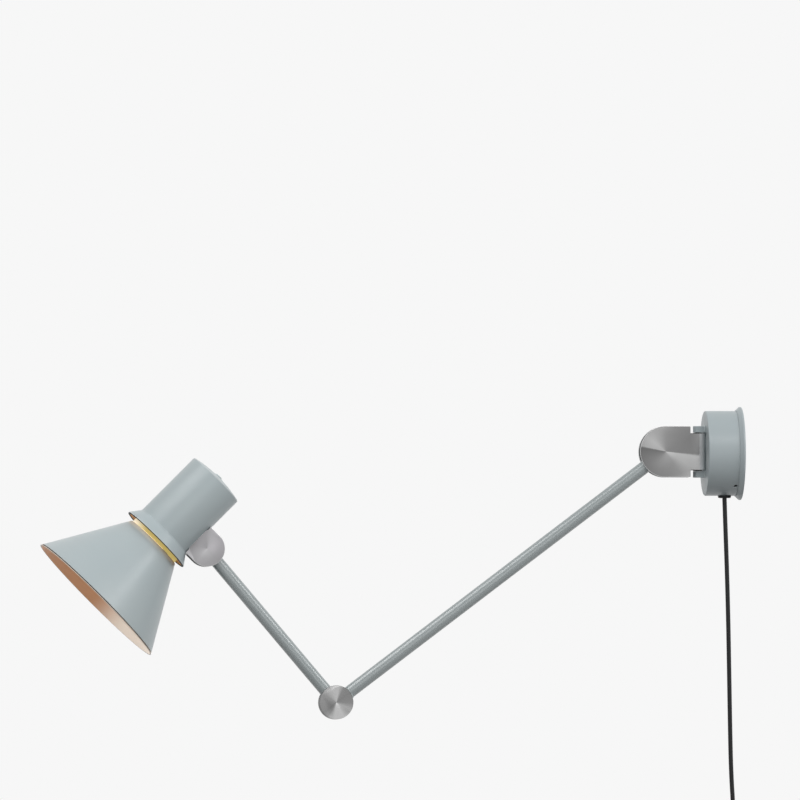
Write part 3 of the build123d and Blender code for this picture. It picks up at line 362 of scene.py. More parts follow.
def brushed_steel_with_painted_fan(name, centre, fan, fold_from=None):
    """Stainless steel with its grooves round a pivot and a painted reflection: a fan of grey
    wedges, in shares of a turn from +X towards +Z. A fold, where the sheet bends away, gets a
    painted highlight."""
    finish, tree, shader, place = start_finish(name, "#a6a6a6", 0.34, 1.0, Anisotropic=0.55)
    from_pivot = add_node(tree, "ShaderNodeVectorMath",
                          {"operation": "SUBTRACT", 1: tuple(centre * MM)}, {0: place})
    part = add_node(tree, "ShaderNodeSeparateXYZ", None, {0: from_pivot.outputs[0]})
    flat = add_node(tree, "ShaderNodeCombineXYZ", None,
                    {"X": part.outputs["X"], "Z": part.outputs["Z"]})
    radius = add_node(tree, "ShaderNodeVectorMath", {"operation": "LENGTH"}, {0: flat.outputs[0]})
    ring = add_node(tree, "ShaderNodeCombineXYZ", None, {"X": radius.outputs["Value"]})
    grooves = add_node(tree, "ShaderNodeTexNoise",
                       {"Scale": grain(GROOVE_WIDTH), "Detail": 2.0, "Roughness": 0.7},
                       {"Vector": ring.outputs[0]})
    turn = add_node(tree, "ShaderNodeMath", {"operation": "ARCTAN2"},
                    {0: part.outputs["Z"], 1: part.outputs["X"]})
    share = add_node(tree, "ShaderNodeMath", {"operation": "DIVIDE", 1: 2 * pi},
                     {0: turn.outputs[0]})
    # grooves aren't perfect circles, so the wedges' edges waver by about a degree
    waver = add_node(tree, "ShaderNodeTexNoise", {"Scale": grain(WAVER_WIDTH), "Detail": 1.0},
                     {"Vector": ring.outputs[0]})
    shift = add_node(tree, "ShaderNodeMath", {"operation": "MULTIPLY_ADD", 1: WAVER},
                     {0: waver.outputs["Fac"], 2: share.outputs[0]})
    whole = add_node(tree, "ShaderNodeMath", {"operation": "FRACT"}, {0: shift.outputs[0]})
    # painted reflection: each fan's greys stand for the overhead panel's reflection round the pivot
    wedges = add_node(tree, "ShaderNodeValToRGB", {"stops": fan}, {"Fac": whole.outputs[0]})
    colour = wedges.outputs["Color"]
    if fold_from is not None:
        # painted highlight: the fold's colour blends to a pale grey
        bend = add_node(tree, "ShaderNodeMapRange",
                        {"From Min": fold_from * MM, "From Max": (fold_from + FOLD_BLEND) * MM},
                        {"Value": part.outputs["X"]})
        lighter = add_node(tree, "ShaderNodeMix", {"data_type": "RGBA", "B": linear("#f2f4f5")},
                           {"Factor": bend.outputs[0], "A": colour})
        colour = lighter.outputs["Result"]
        # made nearly non-metallic, the fold's pale colour takes the lamps' light as a pale paint
        # would
        matt = add_node(tree, "ShaderNodeMath",
                        {"operation": "MULTIPLY_ADD", 1: -FOLD_MATT, 2: 1.0},
                        {0: bend.outputs[0]})
        tree.links.new(matt.outputs[0], shader.inputs["Metallic"])
    streaks = add_node(tree, "ShaderNodeValToRGB", {"stops": ((0.25, GROOVE_SHADE), (0.75, 1.0))},
                       {"Fac": grooves.outputs["Fac"]})
    steel = add_node(tree, "ShaderNodeMix",
                     {"data_type": "RGBA", "blend_type": "MULTIPLY", "Factor": 1.0},
                     {"A": colour, "B": streaks.outputs["Color"]})
    cut = add_node(tree, "ShaderNodeBump", {"Strength": 0.08, "Distance": GROOVE_DEPTH * MM},
                   {"Height": grooves.outputs["Fac"]})
    # the grooves run a quarter turn from the way out of the pivot, and the shader wants that
    # direction in world space
    back_x = add_node(tree, "ShaderNodeMath", {"operation": "MULTIPLY", 1: -1.0},
                      {0: part.outputs["X"]})
    along = add_node(tree, "ShaderNodeCombineXYZ", None,
                     {"X": part.outputs["Z"], "Z": back_x.outputs[0]})
    in_world = add_node(tree, "ShaderNodeVectorTransform",
                        {"vector_type": "VECTOR", "convert_from": "OBJECT", "convert_to": "WORLD"},
                        {0: along.outputs[0]})
    tree.links.new(steel.outputs["Result"], shader.inputs["Base Color"])
    tree.links.new(cut.outputs["Normal"], shader.inputs["Normal"])
    tree.links.new(in_world.outputs[0], shader.inputs["Tangent"])
    print(name, "fan of", len(fan), "wedge stops")
    return finish


print("grooves drawn", GROOVE_WIDTH, "mm apart")

# %% [markdown]
# ## Three fans
# Each plate lies at its own angle to the lights, so each has its own fan, a painted reflection: a
# list of places round the pivot, as shares of a turn, with the grey that the picture shows there.
# The wall bracket has a sharp change just above its left end and one just below its right end.
# The elbow's disc has two bright wedges, above and below. The head bracket's fan is the softest.

# %% Fans
BRACKET_FOLD_FROM = 33.8       # mm along X from the tilt pin
bracket_steel = brushed_steel_with_painted_fan("stainless_brushed_with_painted_fan_round_the_tilt_pin", wall_pivot, (
    (0.0, "#797979"), (0.08, "#787878"), (0.25, "#808080"), (0.335, "#8a8a8a"),
    (0.40, "#969696"), (0.468, "#919191"), (0.478, "#5e5e5e"), (0.60, "#747474"),
    (0.70, "#878787"), (0.85, "#969696"), (0.92, "#acacac"), (0.9825, "#afafaf"),
    (0.9925, "#7c7c7c"), (1.0, "#797979"),
), fold_from=BRACKET_FOLD_FROM)
elbow_steel = brushed_steel_with_painted_fan("stainless_brushed_with_painted_fan_round_the_elbow", elbow, (
    (0.0, "#777777"), (0.11, "#717171"), (0.18, "#777777"), (0.232, "#a1a1a1"),
    (0.30, "#9f9f9f"), (0.36, "#949494"), (0.42, "#7f7f7f"), (0.50, "#7d7d7d"),
    (0.62, "#777777"), (0.67, "#878787"), (0.735, "#c5c5c5"), (0.83, "#c5c5c5"),
    (0.90, "#9d9d9d"), (1.0, "#777777"),
))
head_steel = brushed_steel_with_painted_fan("stainless_brushed_with_painted_fan_round_the_head_pin", head_pivot, (
    (0.0, "#9f9da0"), (0.10, "#9e9c9f"), (0.20, "#969597"), (0.27, "#878688"),
    (0.36, "#878688"), (0.46, "#8d8c8e"), (0.56, "#9c9b9d"), (0.65, "#acabad"),
    (0.77, "#a6a5a7"), (0.87, "#9f9ea0"), (1.0, "#9f9da0"),
))

# %% [markdown]
# ## Metals, mouldings, glass and lacquer
# The small parts are what an electrician would find: ground steel pins, brass contacts, nickel
# plug pins, black nylon mouldings and a terminal block of ivory nylon. Each has a grain and a
# gloss that wander a little, so that no surface looks computed.

# %% A finish with a grain
GRAIN_DEPTH = 0.1      # mm


def grained(name, colour_low, colour_high, colour_mm, gloss, grain_mm, bump, metallic=0.0,
            **sockets):
    """A finish whose colour and gloss drift over some millimetres and whose grain is finer."""
    finish, tree, shader, place = start_finish(name, colour_low, gloss[0], metallic, **sockets)
    drift = add_node(tree, "ShaderNodeTexNoise", {"Scale": grain(colour_mm), "Detail": 3.0},
                     {"Vector": place})
    tint = add_node(tree, "ShaderNodeValToRGB",
                    {"stops": ((LOW_AT, colour_low), (HIGH_AT, colour_high))},
                    {"Fac": drift.outputs["Fac"]})
    shine = add_node(tree, "ShaderNodeValToRGB",
                     {"stops": ((LOW_AT, gloss[0]), (HIGH_AT, gloss[1]))},
                     {"Fac": drift.outputs["Fac"]})
    fine = add_node(tree, "ShaderNodeTexNoise", {"Scale": grain(grain_mm), "Detail": 3.0},
                    {"Vector": place})
    relief = add_node(tree, "ShaderNodeBump", {"Strength": bump, "Distance": GRAIN_DEPTH * MM},
                      {"Height": fine.outputs["Fac"]})
    tree.links.new(tint.outputs["Color"], shader.inputs["Base Color"])
    tree.links.new(shine.outputs["Color"], shader.inputs["Roughness"])
    tree.links.new(relief.outputs["Normal"], shader.inputs["Normal"])
    print(name, colour_low, "to", colour_high)
    return finish


# %% Small parts
# ground and plated steel: a soft grey sheen, and the oxide is nearly black
ground_steel = grained("ground_steel", "#8f9091", "#9b9c9d", 6, (0.26, 0.38), 0.5, 0.08, 1.0)
black_oxide = grained("black_oxide_steel", "#1a1a1b", "#222223", 3, (0.45, 0.55), 0.4, 0.10,
                      Specular_IOR_Level=0.15)
zinc_steel = grained("zinc_plated_steel", "#8b8c8e", "#999a9b", 4, (0.30, 0.42), 0.4, 0.10, 1.0)
# fibre is dull and a little fuzzy, nylon has a broad weak highlight, and PVC a sharper one
washer_fibre = grained("vulcanised_fibre", "#262524", "#2e2c2a", 3, (0.65, 0.75), 0.6, 0.30)
black_nylon = grained("moulded_black_nylon", "#121314", "#161718", 8, (0.40, 0.50), 0.7, 0.20,
                      Specular_IOR_Level=0.2)
black_pvc = grained("moulded_black_pvc", "#17181a", "#1b1c1e", 8, (0.30, 0.38), 0.7, 0.12, IOR=1.53)
ivory_nylon = grained("moulded_ivory_nylon", "#d6d1c1", "#dcd8c9", 6, (0.45, 0.55), 0.7, 0.15,
                      IOR=1.53)
# brass is warm, nickel nearly a mirror, and drawn aluminium pale and dull
screw_brass = grained("turned_brass", "#b98f4e", "#c79d5a", 3, (0.26, 0.36), 0.3, 0.10, 1.0)
pin_nickel = grained("nickel_plate", "#bcbab3", "#c8c6c0", 5, (0.12, 0.22), 0.5, 0.05, 1.0)
cap_aluminium = grained("drawn_aluminium", "#a6a6a2", "#b2b2ad", 5, (0.28, 0.40), 0.4, 0.08, 1.0)
# the sheath is smooth, so one thin line of light runs down the cord
cord_sheath = grained("extruded_black_pvc_sheath", "#131415", "#18191a", 30, (0.28, 0.36), 1.2,
                      0.05, Specular_IOR_Level=0.25)

# %% [markdown]
# ## Lacquer, amber and glass
# Inside the shade is a copper-coloured lacquer, whose warm colour is partly painted light from
# the bulb, and a ring of amber acrylic glows in the gap above the cone. Tracing a lit bulb
# through frosted glass is slow and grainy, so emission stands for its light: strong on the glass,
# weaker on the amber, and faint on the lacquer, where it looks like light that has bounced about.
# Both are also mixed with a paler colour across the head as painted light: the amber towards the
# room, and the lacquer towards the arms.

# %% Lacquer, amber and glass


def paint_light_across_head(finish, pale, start_mm, full_mm):
    """Paints light on a finish: mixes it with a paler one across the head, from one place to
    another, both from the head's axis and positive towards the arms."""
    tree = finish.node_tree
    shader = tree.nodes["Principled BSDF"]
    place = add_node(tree, "ShaderNodeTexCoord").outputs["Object"]
    across = add_node(tree, "ShaderNodeVectorMath",
                      {"operation": "DOT_PRODUCT", 1: tuple(head_side)}, {0: place})
    axis = rim_centre.dot(head_side)
    share = add_node(tree, "ShaderNodeMapRange",
                     {"interpolation_type": "SMOOTHSTEP", "From Min": (axis + start_mm) * MM,
                      "From Max": (axis + full_mm) * MM}, {"Value": across.outputs["Value"]})
    for socket_name in ("Base Color", "Emission Color"):
        socket = shader.inputs[socket_name]
        mixed = add_node(tree, "ShaderNodeMix", {"data_type": "RGBA", "B": linear(pale)},
                         {"Factor": share.outputs[0]})
        if socket.is_linked:
            tree.links.new(socket.links[0].from_socket, mixed.inputs["A"])
        else:
            mixed.inputs["A"].default_value = socket.default_value
        tree.links.new(mixed.outputs["Result"], socket)


# the copper colour is partly painted warm light from the bulb, in the shade and in the collar
lacquer_with_painted_light = grained("copper_tinted_lacquer_with_painted_warm_light", "#ce9e75", "#d5a680", 40, (0.38, 0.48), 1.2,
                         0.10, Emission_Color=linear("#845f45"), Emission_Strength=0.48)
collar_lacquer_with_painted_light = grained("copper_tinted_lacquer_with_painted_warm_light_in_the_collar", "#ce9e75", "#d5a680", 40,
                         (0.38, 0.48), 1.2, 0.10)
# painted light: the lacquer turns paler towards the arms
paint_light_across_head(lacquer_with_painted_light, "#e6dccf", -2, 46)
# painted highlight: the rolled lip's lacquer is paler than the copper
lip_highlight_lacquer = grained("pale_lacquer_painted_highlight_on_the_rolled_lip", "#d3c2b2", "#dccdbf", 20, (0.35, 0.45),
                      1.0, 0.05)
amber_ring = grained("amber_acrylic", "#a89a5c", "#b2a466", 12, (0.35, 0.45), 1.5, 0.05,
                     Emission_Color=linear("#ccb868"), Emission_Strength=0.6, IOR=1.49)
frosted_glass = grained("acid_frosted_glass", "#efe9da", "#f4efe2", 15, (0.38, 0.46), 0.8, 0.05,
                        Emission_Color=linear("#ffdcae"), Emission_Strength=1.6, IOR=1.52)
# light from the room washes the amber out at the ring's far end
paint_light_across_head(amber_ring, "#f3ecd4", -12, -32)

# %% [markdown]
# ## Which part has which finish
# Parts whose CAD shape is right stay as they are, and we only put the finish in their slots.
# One table says it for every part, so a part that was forgotten is easy to find.

# %% Finishes for the carried-over parts
FINISH_OF = {
    drum_coat: ("wall_plate", "canopy"),
    shade_coat: ("lamp_body", "cone_shade", "switch_bezel", "switch_button"),
    arm_coat: ("wall_knuckle", "long_arm_tube", "elbow_fork", "elbow_eye", "short_arm_tube",
               "head_knuckle"),
    bracket_steel: ("wall_bracket",),
    elbow_steel: ("elbow_disc_near", "elbow_disc_far"),
    head_steel: ("head_bracket",),
    ground_steel: ("swivel_pin", "swivel_block", "tilt_pin", "elbow_pin", "head_pin",
                   "shade_spider"),
    black_oxide: ("canopy_screws",),
    zinc_steel: ("bracket_screws",),
    washer_fibre: ("swivel_washers", "tilt_washers", "elbow_washers", "head_washers"),
    black_nylon: ("cord_gland", "lampholder", "switch_body", "cord_tie"),
    black_pvc: ("plug_body", "plug_relief"),
    ivory_nylon: ("terminal_block",),
    screw_brass: ("terminal_screws", "thread_shell"),
    pin_nickel: ("plug_pins",),
    cap_aluminium: ("bulb_cap",),
    frosted_glass: ("bulb_glass",),
    cord_sheath: ("supply_lead", "long_arm_lead", "short_arm_lead", "cord_drop", "cord_coil",
                  "cord_tail"),
    amber_ring: ("light_ring",),
}
for finish, names in FINISH_OF.items():
    for name in names:
        nodes[name].data.materials.clear()
        nodes[name].data.materials.append(finish)
unfinished = set(nodes) - {name for names in FINISH_OF.values() for name in names}
print("parts without a finish:", sorted(unfinished))

# %% [markdown]
# ## Eased edges on the steel plates
# A punched plate has a burr, so its edges are eased with a file and catch a white line of
# light. We copy the plate's CAD mesh, melt the triangles of each flat face back into one
# face, bevel the sharp edges by a few tenths of a millimetre, and give the new strips a paler
# finish of their own, a painted highlight. The wall drum is eased in the same way, and its coat
# is painted pale there as a painted highlight.

# %% The easing tool
MERGE_WITHIN = 0.001           # mm
FLAT_WITHIN = radians(1)       # triangles that lie flatter than this are one face
EDGE_FROM = radians(50)        # edges sharper than this are bevelled
EASED_SHARP_FROM = radians(18)
# a face's finish: the part's own, the eased edge's painted highlight, a second one, or the
# pocket's painted shade
OWN, EDGE, SECOND, POCKET = 0, 1, 2, 3


def own_or_edge(middle, normal, is_edge):
    """The plain case: the strips along the edges have a finish of their own, a painted highlight.
    """
    return EDGE if is_edge else OWN


def eased_plate(name, replaced, body, finishes, width, which=own_or_edge):
    """A part's CAD shape with its sharp edges bevelled. which picks a face's finish by its
    middle, its normal and whether it is an edge strip."""
    plate = bmesh.new()
    plate.from_mesh(nodes[replaced].data)
    plate.transform(nodes[replaced].matrix_world)
    bmesh.ops.remove_doubles(plate, verts=plate.verts, dist=MERGE_WITHIN * MM)
    bmesh.ops.dissolve_limit(plate, angle_limit=FLAT_WITHIN, verts=plate.verts, edges=plate.edges)
    for face in plate.faces:
        face.material_index = OWN
    sharp = [edge for edge in plate.edges
             if len(edge.link_faces) == 2 and edge.calc_face_angle() > EDGE_FROM]
    made = bmesh.ops.bevel(plate, geom=sharp, offset=width * MM, offset_type="OFFSET", segments=2,
                           profile=0.5, affect="EDGES", material=-1)
    bmesh.ops.recalc_face_normals(plate, faces=plate.faces)
    for face in made["faces"]:
        face.material_index = EDGE
    for face in plate.faces:
        is_edge = face.material_index == EDGE
        face.material_index = which(face.calc_center_median() / MM, face.normal, is_edge)
    bmesh.ops.triangulate(plate, faces=[face for face in plate.faces if len(face.verts) > 4])
    for face in plate.faces:
        face.smooth = True
    mesh = bpy.data.meshes.new(name)
    plate.to_mesh(mesh)
    plate.free()
    for finish in finishes:
        mesh.materials.append(finish)
    mesh.set_sharp_from_angle(angle=EASED_SHARP_FROM)
    piece = bpy.data.objects.new(name, mesh)
    scene.collection.objects.link(piece)
    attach(piece, body)
    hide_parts(replaced)
    print(name, "faces", len(mesh.polygons), "eased edges", len(sharp))


# %% [markdown]
# ## Steel that was not brushed
# The eased edges get the brightest steel on the lamp, a painted highlight that draws a white
# line round each plate. The inner sides of the folded brackets are dull and painted a darker
# grey, as painted shade between the plates. Where the wall bracket's tongue turns in the drum's
# pocket, its edge strips are painted nearly black, as painted shade, so the pocket keeps its thin
# dark outline.

# %% Unbrushed steel and the choice by face
# painted highlight: pale steel for the eased edges
edge_highlight_steel = grained("stainless_painted_highlight_on_edges", "#c2c2c2", "#cccccc", 3, (0.30, 0.40), 0.5, 0.05, 1.0)
# painted shade: darker, duller steel on the inner sides
dull_shaded_steel = grained("stainless_dull_with_painted_shade_inside", "#717374", "#7c7e7f", 3, (0.5, 0.6), 0.5, 0.10,
                     Specular_IOR_Level=0.3)
# painted shade: near-black steel on the tongue's edge strips in the pocket
pocket_shade_steel = grained("stainless_painted_shade_in_the_pocket", "#1d1f1f", "#262828", 3, (0.6, 0.7), 0.5,
                      0.10, Specular_IOR_Level=0.2)
TONGUE_FROM = -51.0    # mm along X, where the wall bracket's tongue starts
SIDEWAYS, FORWARDS = 0.9, 0.95     # a face turned at least so squarely counts as facing that way


def inner_side(middle, normal):
    """Whether a face of a folded plate looks at the lamp's middle plane."""
    return abs(normal.y) > SIDEWAYS and normal.y * middle.y < 0


def wall_bracket_finish(middle, normal, is_edge):
    """Painted highlight on edges, painted shade on the tongue's edges and the dull inner sides."""
    if is_edge:
        return POCKET if middle.x > TONGUE_FROM else EDGE
    return SECOND if inner_side(middle, normal) else OWN


def head_bracket_finish(middle, normal, is_edge):
    """Painted highlight on edges, and painted shade on the dull inner sides."""
    if is_edge:
        return EDGE
    return SECOND if inner_side(middle, normal) else OWN


def canopy_finish(middle, normal, is_edge):
    """Painted highlight on edges, and a more matt coat in painted shade on what faces forwards."""
    if is_edge:
        return EDGE
    return SECOND if normal.x < -FORWARDS else OWN


# %% Eased plates
PLATE_EASE, DISC_EASE, DRUM_EASE = 0.35, 0.2, 0.45     # mm
# the edge strips' pale finishes are painted highlights; the inner sides and the pocket's strips are
# painted shade
eased_plate("eased_wall_bracket", "wall_bracket", "swivel",
            (bracket_steel, edge_highlight_steel, dull_shaded_steel, pocket_shade_steel), PLATE_EASE, wall_bracket_finish)
eased_plate("eased_head_bracket", "head_bracket", "head",
            (head_steel, edge_highlight_steel, dull_shaded_steel), PLATE_EASE, head_bracket_finish)
eased_plate("eased_near_disc", "elbow_disc_near", "long_arm",
            (elbow_steel, edge_highlight_steel), DISC_EASE)
eased_plate("eased_far_disc", "elbow_disc_far", "long_arm",
            (elbow_steel, edge_highlight_steel), DISC_EASE)
eased_plate("eased_canopy", "canopy", "wall_mount",
            (drum_coat, edge_highlight_coat, drum_front), DRUM_EASE, canopy_finish)

# %% [markdown]
# ## Spinning sheet metal
# A metal spinner presses a disc of sheet over a turning form. We do the same with one
# operator: a few vertices draw the sheet's section beside the axis, the bevel operator rounds
# its corners, and spin sweeps it a full turn. Doubles on the axis are merged, then the normals
# are made to point outwards. Which finish a face gets depends on where it is and how it faces.

# %% The spinning tool
SPIN_STEPS = 144
SPIN_MERGE_WITHIN = 0.0005     # mm
SHARP_FROM = radians(35)


def spin_piece(name, section, corners, finishes, which, body, replaced):
    """Spins a closed section of (radius, height) in mm round the head's axis. corners maps a
    point's number to the radius that rounds it, and which picks a face's finish by its radius,
    height and whether it faces outwards."""
    sheet = bmesh.new()
    points = [sheet.verts.new((radius, 0, height)) for radius, height in section]
    for here, there in zip(points, points[1:] + points[:1]):
        sheet.edges.new((here, there))
    for number, radius in corners.items():
        bmesh.ops.bevel(sheet, geom=[points[number]], offset=radius, offset_type="OFFSET",
                        segments=4, profile=0.5, affect="VERTICES", material=-1)
    bmesh.ops.spin(sheet, geom=sheet.verts[:] + sheet.edges[:], cent=(0, 0, 0), axis=(0, 0, 1),
                   angle=2 * pi, steps=SPIN_STEPS, use_merge=True)
    bmesh.ops.remove_doubles(sheet, verts=sheet.verts, dist=SPIN_MERGE_WITHIN)
    bmesh.ops.recalc_face_normals(sheet, faces=sheet.faces)
    for face in sheet.faces:
        middle = face.calc_center_median()
        outwards = Vector((middle.x, middle.y, 0)).normalized()
        face.smooth = True
        face.material_index = which(middle.xy.length, middle.z, face.normal.dot(outwards) > 0)
    bmesh.ops.transform(sheet, matrix=Matrix.Scale(MM, 4) @ head_place, verts=sheet.verts)
    mesh = bpy.data.meshes.new(name)
    sheet.to_mesh(mesh)
    sheet.free()
    for finish in finishes:
        mesh.materials.append(finish)
    mesh.set_sharp_from_angle(angle=SHARP_FROM)
    piece = bpy.data.objects.new(name, mesh)
    scene.collection.objects.link(piece)
    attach(piece, body)
    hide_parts(replaced)
    print(name, "faces", len(mesh.polygons))


# %% [markdown]
# ## The conical shade
# The cone is aluminium sheet: powder coat outside, copper lacquer inside, whose warm colour is
# partly painted light. The sheet's edge is rolled in at the rim, which leaves a thin seam on the
# outside and, below it, a lip that catches the light. Both are real steps in the section, since a
# seam painted on a flat cone would vanish from other sides. The seam's near-black coat is painted
# shade, and the lip's pale lacquer a painted highlight.

# %% Cone
RIM_RADIUS = 77.8
BODY_RADIUS = 30.75
CONE_ANGLE = radians(30)
CONE_WALL = 1.0
CONE_SLOPE = tan(CONE_ANGLE)
CONE_TOP = (RIM_RADIUS - BODY_RADIUS) / CONE_SLOPE
CONE_WALL_ACROSS = CONE_WALL / cos(CONE_ANGLE)     # the wall cut level, not square
SEAM_FROM, SEAM_TO = 0.8, 1.8      # heights above the rim's plane
SEAM_DEPTH = 0.65
LIP_EXTRA = 0.2        # how much thicker the rolled lip is than the wall
LIP_INSIDE = 0.2       # how far the lip's finish reaches up the inside
COAT_WRAP = 1.6        # how far the outer coat wraps down inside the top edge
A_HAIR = 0.01          # past an edge, so that a flat face on it is on the right side
GLOW_BAND = (CONE_TOP - 5.5, CONE_TOP - 1.5, "#eef1e6")    # its foot, its top and its colour
OUTSIDE, INSIDE, SEAM, LIP = 0, 1, 2, 3


def cone_radius(height):
    """The cone's outer radius at a height above the rim's plane."""
    return RIM_RADIUS - height * CONE_SLOPE


def cone_finish(radius, height, faces_out):
    """The lip's painted highlight and the seam's painted shade near the rim, then the coat
    outside and the lacquer inside.
    """
    if height < SEAM_FROM + A_HAIR:
        return LIP if faces_out or height < LIP_INSIDE else INSIDE
    if height < SEAM_TO + A_HAIR and faces_out:
        return SEAM
    return OUTSIDE if faces_out or height > CONE_TOP - COAT_WRAP else INSIDE


# down the outside from the top, round the seam and the lip, and back up the inside
cone_section = [
    (BODY_RADIUS, CONE_TOP),
    (cone_radius(SEAM_TO), SEAM_TO),
    (cone_radius(SEAM_TO) - SEAM_DEPTH, SEAM_TO),
    (cone_radius(SEAM_FROM) - SEAM_DEPTH, SEAM_FROM),
    (cone_radius(SEAM_FROM), SEAM_FROM),
    (cone_radius(0), 0),
    (cone_radius(0) - CONE_WALL_ACROSS - LIP_EXTRA, 0),
    (BODY_RADIUS - CONE_WALL_ACROSS, CONE_TOP),
]
cone_corners = {0: 0.4, 4: 0.3, 5: 0.35, 6: 0.3, 7: 0.3}      # a point and its rounding in mm
# light that leaks out of the gap makes the cone paler just under its top edge
cone_coat = powder_coat("satin_powder_coat_cone", "#b7c3c6", "#bbc6c8", 0.28, 0.34,
                        lit_band=GLOW_BAND)
spin_piece("spun_cone", cone_section, cone_corners,
           (cone_coat, lacquer_with_painted_light, seam_shadow, lip_highlight_lacquer), cone_finish,
           "head", "cone_shade")

# %% [markdown]
# ## The lamp body
# The body is one more spinning: a tube with a slightly domed top and a collar that flares over
# the cone like a skirt. It stays a few millimetres clear of the cone, so that warm air and a
# little light get out. The dome is an arc, which we get by spinning a single vertex about the
# dome's centre before the rest of the section is joined to it.

# %% Dome
BODY_WALL = 1.2
BODY_DOME = 3.6
BODY_PAST_PIVOT = 55.7     # from the head's pivot to the tube's upper edge, along the axis
BODY_TOP = PIVOT_ALONG + BODY_PAST_PIVOT
DOME_STEPS = 10


def dome_section(radius, edge_height, rise):
    """Points of a shallow dome, from its crown to its edge, read from a spun vertex."""
    bend = (radius ** 2 + rise ** 2) / (2 * rise)
    arc = bmesh.new()
    crown = arc.verts.new((0, 0, edge_height + rise))
    bmesh.ops.spin(arc, geom=[crown], cent=(0, 0, edge_height + rise - bend), axis=(0, 1, 0),
                   angle=asin(radius / bend), steps=DOME_STEPS)
    points = sorted((abs(vert.co.x), vert.co.z) for vert in arc.verts)
    arc.free()
    return points


dome_out = dome_section(BODY_RADIUS, BODY_TOP, BODY_DOME)
dome_in = dome_section(BODY_RADIUS - BODY_WALL, BODY_TOP - BODY_WALL, BODY_DOME)
print("dome of", len(dome_out), "points rises", BODY_DOME, "mm")

# %% Lamp body
AIR_GAP = 3.3          # between the cone's top and the collar's rim
COLLAR_HEIGHT = 11.6
COLLAR_ANGLE = radians(33.5)
COLLAR_RIM = CONE_TOP + AIR_GAP
COLLAR_TOP = COLLAR_RIM + COLLAR_HEIGHT
COLLAR_RADIUS = BODY_RADIUS + COLLAR_HEIGHT * tan(COLLAR_ANGLE)
COLLAR_WALL_DROP = 0.6     # the collar's inside meets the tube this much lower than its outside
BEAD = 0.55            # stands proud where the collar's sheet is lapped on the tube
LIP_HEIGHT = 1.5       # the collar's sheet is turned in at its rim
LIP_WIDTH = 1.9
LIP_DARK = 0.85        # the turned edge's coat is painted near-black up to here, as painted shade
CROWN_EDGE = 1.0       # rounds the tube into its domed top, whose edge is painted pale as a painted highlight
LIP_REACH = 0.1        # how far a lip's finish goes past its edges
LIP_FACE = 0.4         # the lip's outer face lies within this of the collar's full radius
UNDER_CROWN = 0.5      # faces higher than this below the top belong to the dome


def body_finish(radius, height, faces_out):
    """The collar's turned edge in painted shade, its lip and the crown's edge as painted
    highlights, the coat and the lacquer.
    """
    if height < COLLAR_RIM + LIP_DARK and radius > COLLAR_RADIUS - LIP_WIDTH - LIP_REACH:
        return SEAM
    on_lip = height < COLLAR_RIM + LIP_HEIGHT + LIP_REACH and radius > COLLAR_RADIUS - LIP_FACE
    if on_lip and faces_out:
        return LIP
    if BODY_RADIUS - CROWN_EDGE < radius and height > BODY_TOP - CROWN_EDGE:
        return LIP
    return OUTSIDE if faces_out or height > BODY_TOP - UNDER_CROWN else INSIDE


# down the outside from the crown, round the collar's rim, and back up the inside
body_section = dome_out + [
    (BODY_RADIUS, COLLAR_TOP + BEAD),
    (BODY_RADIUS + BEAD, COLLAR_TOP),
    (BODY_RADIUS + BEAD, COLLAR_TOP - BEAD),
    (COLLAR_RADIUS, COLLAR_RIM + LIP_HEIGHT),
    (COLLAR_RADIUS, COLLAR_RIM + LIP_DARK),
    (COLLAR_RADIUS, COLLAR_RIM),
    (COLLAR_RADIUS - LIP_WIDTH, COLLAR_RIM),
    (COLLAR_RADIUS - LIP_WIDTH, COLLAR_RIM + LIP_DARK),
    (COLLAR_RADIUS - LIP_WIDTH, COLLAR_RIM + LIP_HEIGHT),
    (BODY_RADIUS - BODY_WALL, COLLAR_TOP - COLLAR_WALL_DROP),
] + dome_in[::-1]
first = len(dome_out)      # the first point after the dome
body_corners = {first - 1: CROWN_EDGE, first + 1: 0.3, first + 3: 0.5, first + 5: 0.5,
                first + 6: 0.4, first + 9: 0.8}
# the collar's turned edge is painted shade, and its lip and the crown's edge painted highlights
spin_piece("spun_lamp_body", body_section, body_corners,
           (shade_coat, collar_lacquer_with_painted_light, seam_shadow, edge_highlight_coat), body_finish,
           "head", "lamp_body")

# %% [markdown]
# ## Cord
# A two-metre round mains cord leaves the gland, hangs straight with a slight lean, and the
# length that nobody needs is wound in a coil that a strap holds above the plug. The whole cord
# is one smooth NURBS spline. Its coil has sixteen control points a turn, layer upon layer, and
# the rest of the route has few points, because a hanging cord has few reasons to bend.

# %% The cord's route
CORD_RADIUS = 2.25
QUARTER_TURN = 0.25
# the drop hangs from the gland under the drum, and its points are listed one by one
drop_points = [
    (-16.2, 0, -44.7), (-15.6, 0, -64.0), (-13.9, 0, -112.0), (-12.6, 0, -160.0),
    (-11.7, 0, -210.0), (-10.9, 0, -262.0), (-9.8, 0, -318.0), (-7.4, 0, -356.0),
    (-7.4, 0, -385.87),
]
COIL_TURNS, COIL_LAYERS, COIL_PITCH, COIL_MEAN = 10, 4, 5.05, 25.5
COIL_LAYER_TURNS = (COIL_TURNS - (COIL_LAYERS - 1) / 2) / COIL_LAYERS + 2 * QUARTER_TURN
COIL_OUTER = COIL_MEAN + COIL_PITCH * COIL_LAYER_TURNS / 2
COIL_TOP = -356.0      # the highest point of the cord's outermost turn
COIL_X, COIL_Y, COIL_Z = -7.4, COIL_OUTER, COIL_TOP - COIL_OUTER - CORD_RADIUS
POINTS_A_TURN = 16
# a spline of order 3 takes three quarters of a control point and an eighth of each neighbour,
# so it runs inside a ring of them, and the ring has to be a little larger than the coil
OUTSET = 1 / (0.75 + 0.25 * cos(2 * pi / POINTS_A_TURN))


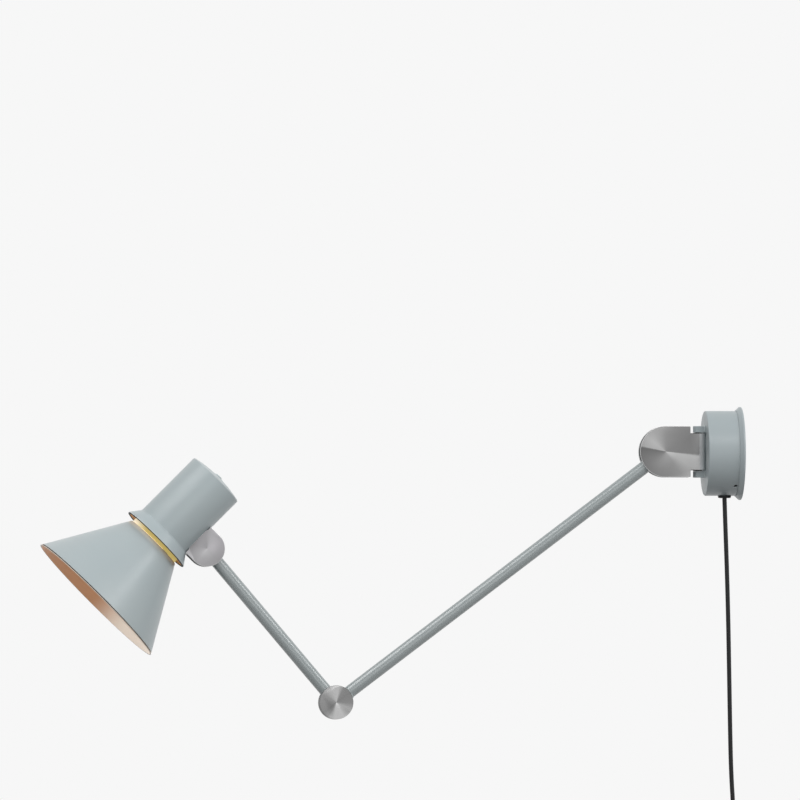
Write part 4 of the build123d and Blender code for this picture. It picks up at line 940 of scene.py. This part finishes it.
def coil_point(turn):
    """A control point of the coil by turns from its start, layer by layer, in and out again.
    Within a quarter turn of each end of a layer the cord climbs to the next one."""
    along = turn + QUARTER_TURN
    layer = min(int(along / COIL_LAYER_TURNS), COIL_LAYERS - 1)
    into = along - layer * COIL_LAYER_TURNS
    travelled = into if layer % 2 == 0 else COIL_LAYER_TURNS - into
    radius = (COIL_OUTER - COIL_PITCH * (travelled - QUARTER_TURN)) * OUTSET
    climb = 0.0
    if layer > 0 and into < QUARTER_TURN:
        climb = 0.5 * (into / QUARTER_TURN) - 0.5
    if layer < COIL_LAYERS - 1 and into > COIL_LAYER_TURNS - QUARTER_TURN:
        climb = 0.5 * (into - COIL_LAYER_TURNS + QUARTER_TURN) / QUARTER_TURN
    angle = 2 * pi * turn
    return (COIL_X - COIL_PITCH * (layer + climb), COIL_Y - radius * cos(angle),
            COIL_Z - radius * sin(angle))


TAIL_X = COIL_X - (COIL_LAYERS - 1) * COIL_PITCH
COIL_TO_PLUG = 44.0
STRAIGHT_FROM = 14.0       # below the coil's middle, where the tail hangs straight
PLUG_TOP = COIL_Z - 2 * CORD_RADIUS - COIL_TO_PLUG
coil_points = [coil_point(k / POINTS_A_TURN) for k in range(1, COIL_TURNS * POINTS_A_TURN)]
tail_points = [(TAIL_X, 0, COIL_Z), (TAIL_X, 0, COIL_Z - STRAIGHT_FROM), (TAIL_X, 0, PLUG_TOP)]
route = drop_points + coil_points + tail_points
print("cord control points", len(route))

# %% Cord
cord_data = bpy.data.curves.new("mains_cord", "CURVE")
cord_data.dimensions = "3D"
cord_data.bevel_depth = CORD_RADIUS * MM
cord_data.bevel_resolution = 6
cord_data.resolution_u = 12
cord_data.use_fill_caps = True
cord_line = cord_data.splines.new("NURBS")
cord_line.points.add(len(route) - 1)
for control, place in zip(cord_line.points, route):
    control.co = (*(Vector(place) * MM), 1.0)
cord_line.order_u = 3
cord_line.use_endpoint_u = True
cord_data.materials.append(cord_sheath)
cord = bpy.data.objects.new("mains_cord", cord_data)
scene.collection.objects.link(cord)
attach(cord, "wall_mount")
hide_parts("cord_drop", "cord_coil", "cord_tail")
print("cord", 2 * CORD_RADIUS, "mm thick")
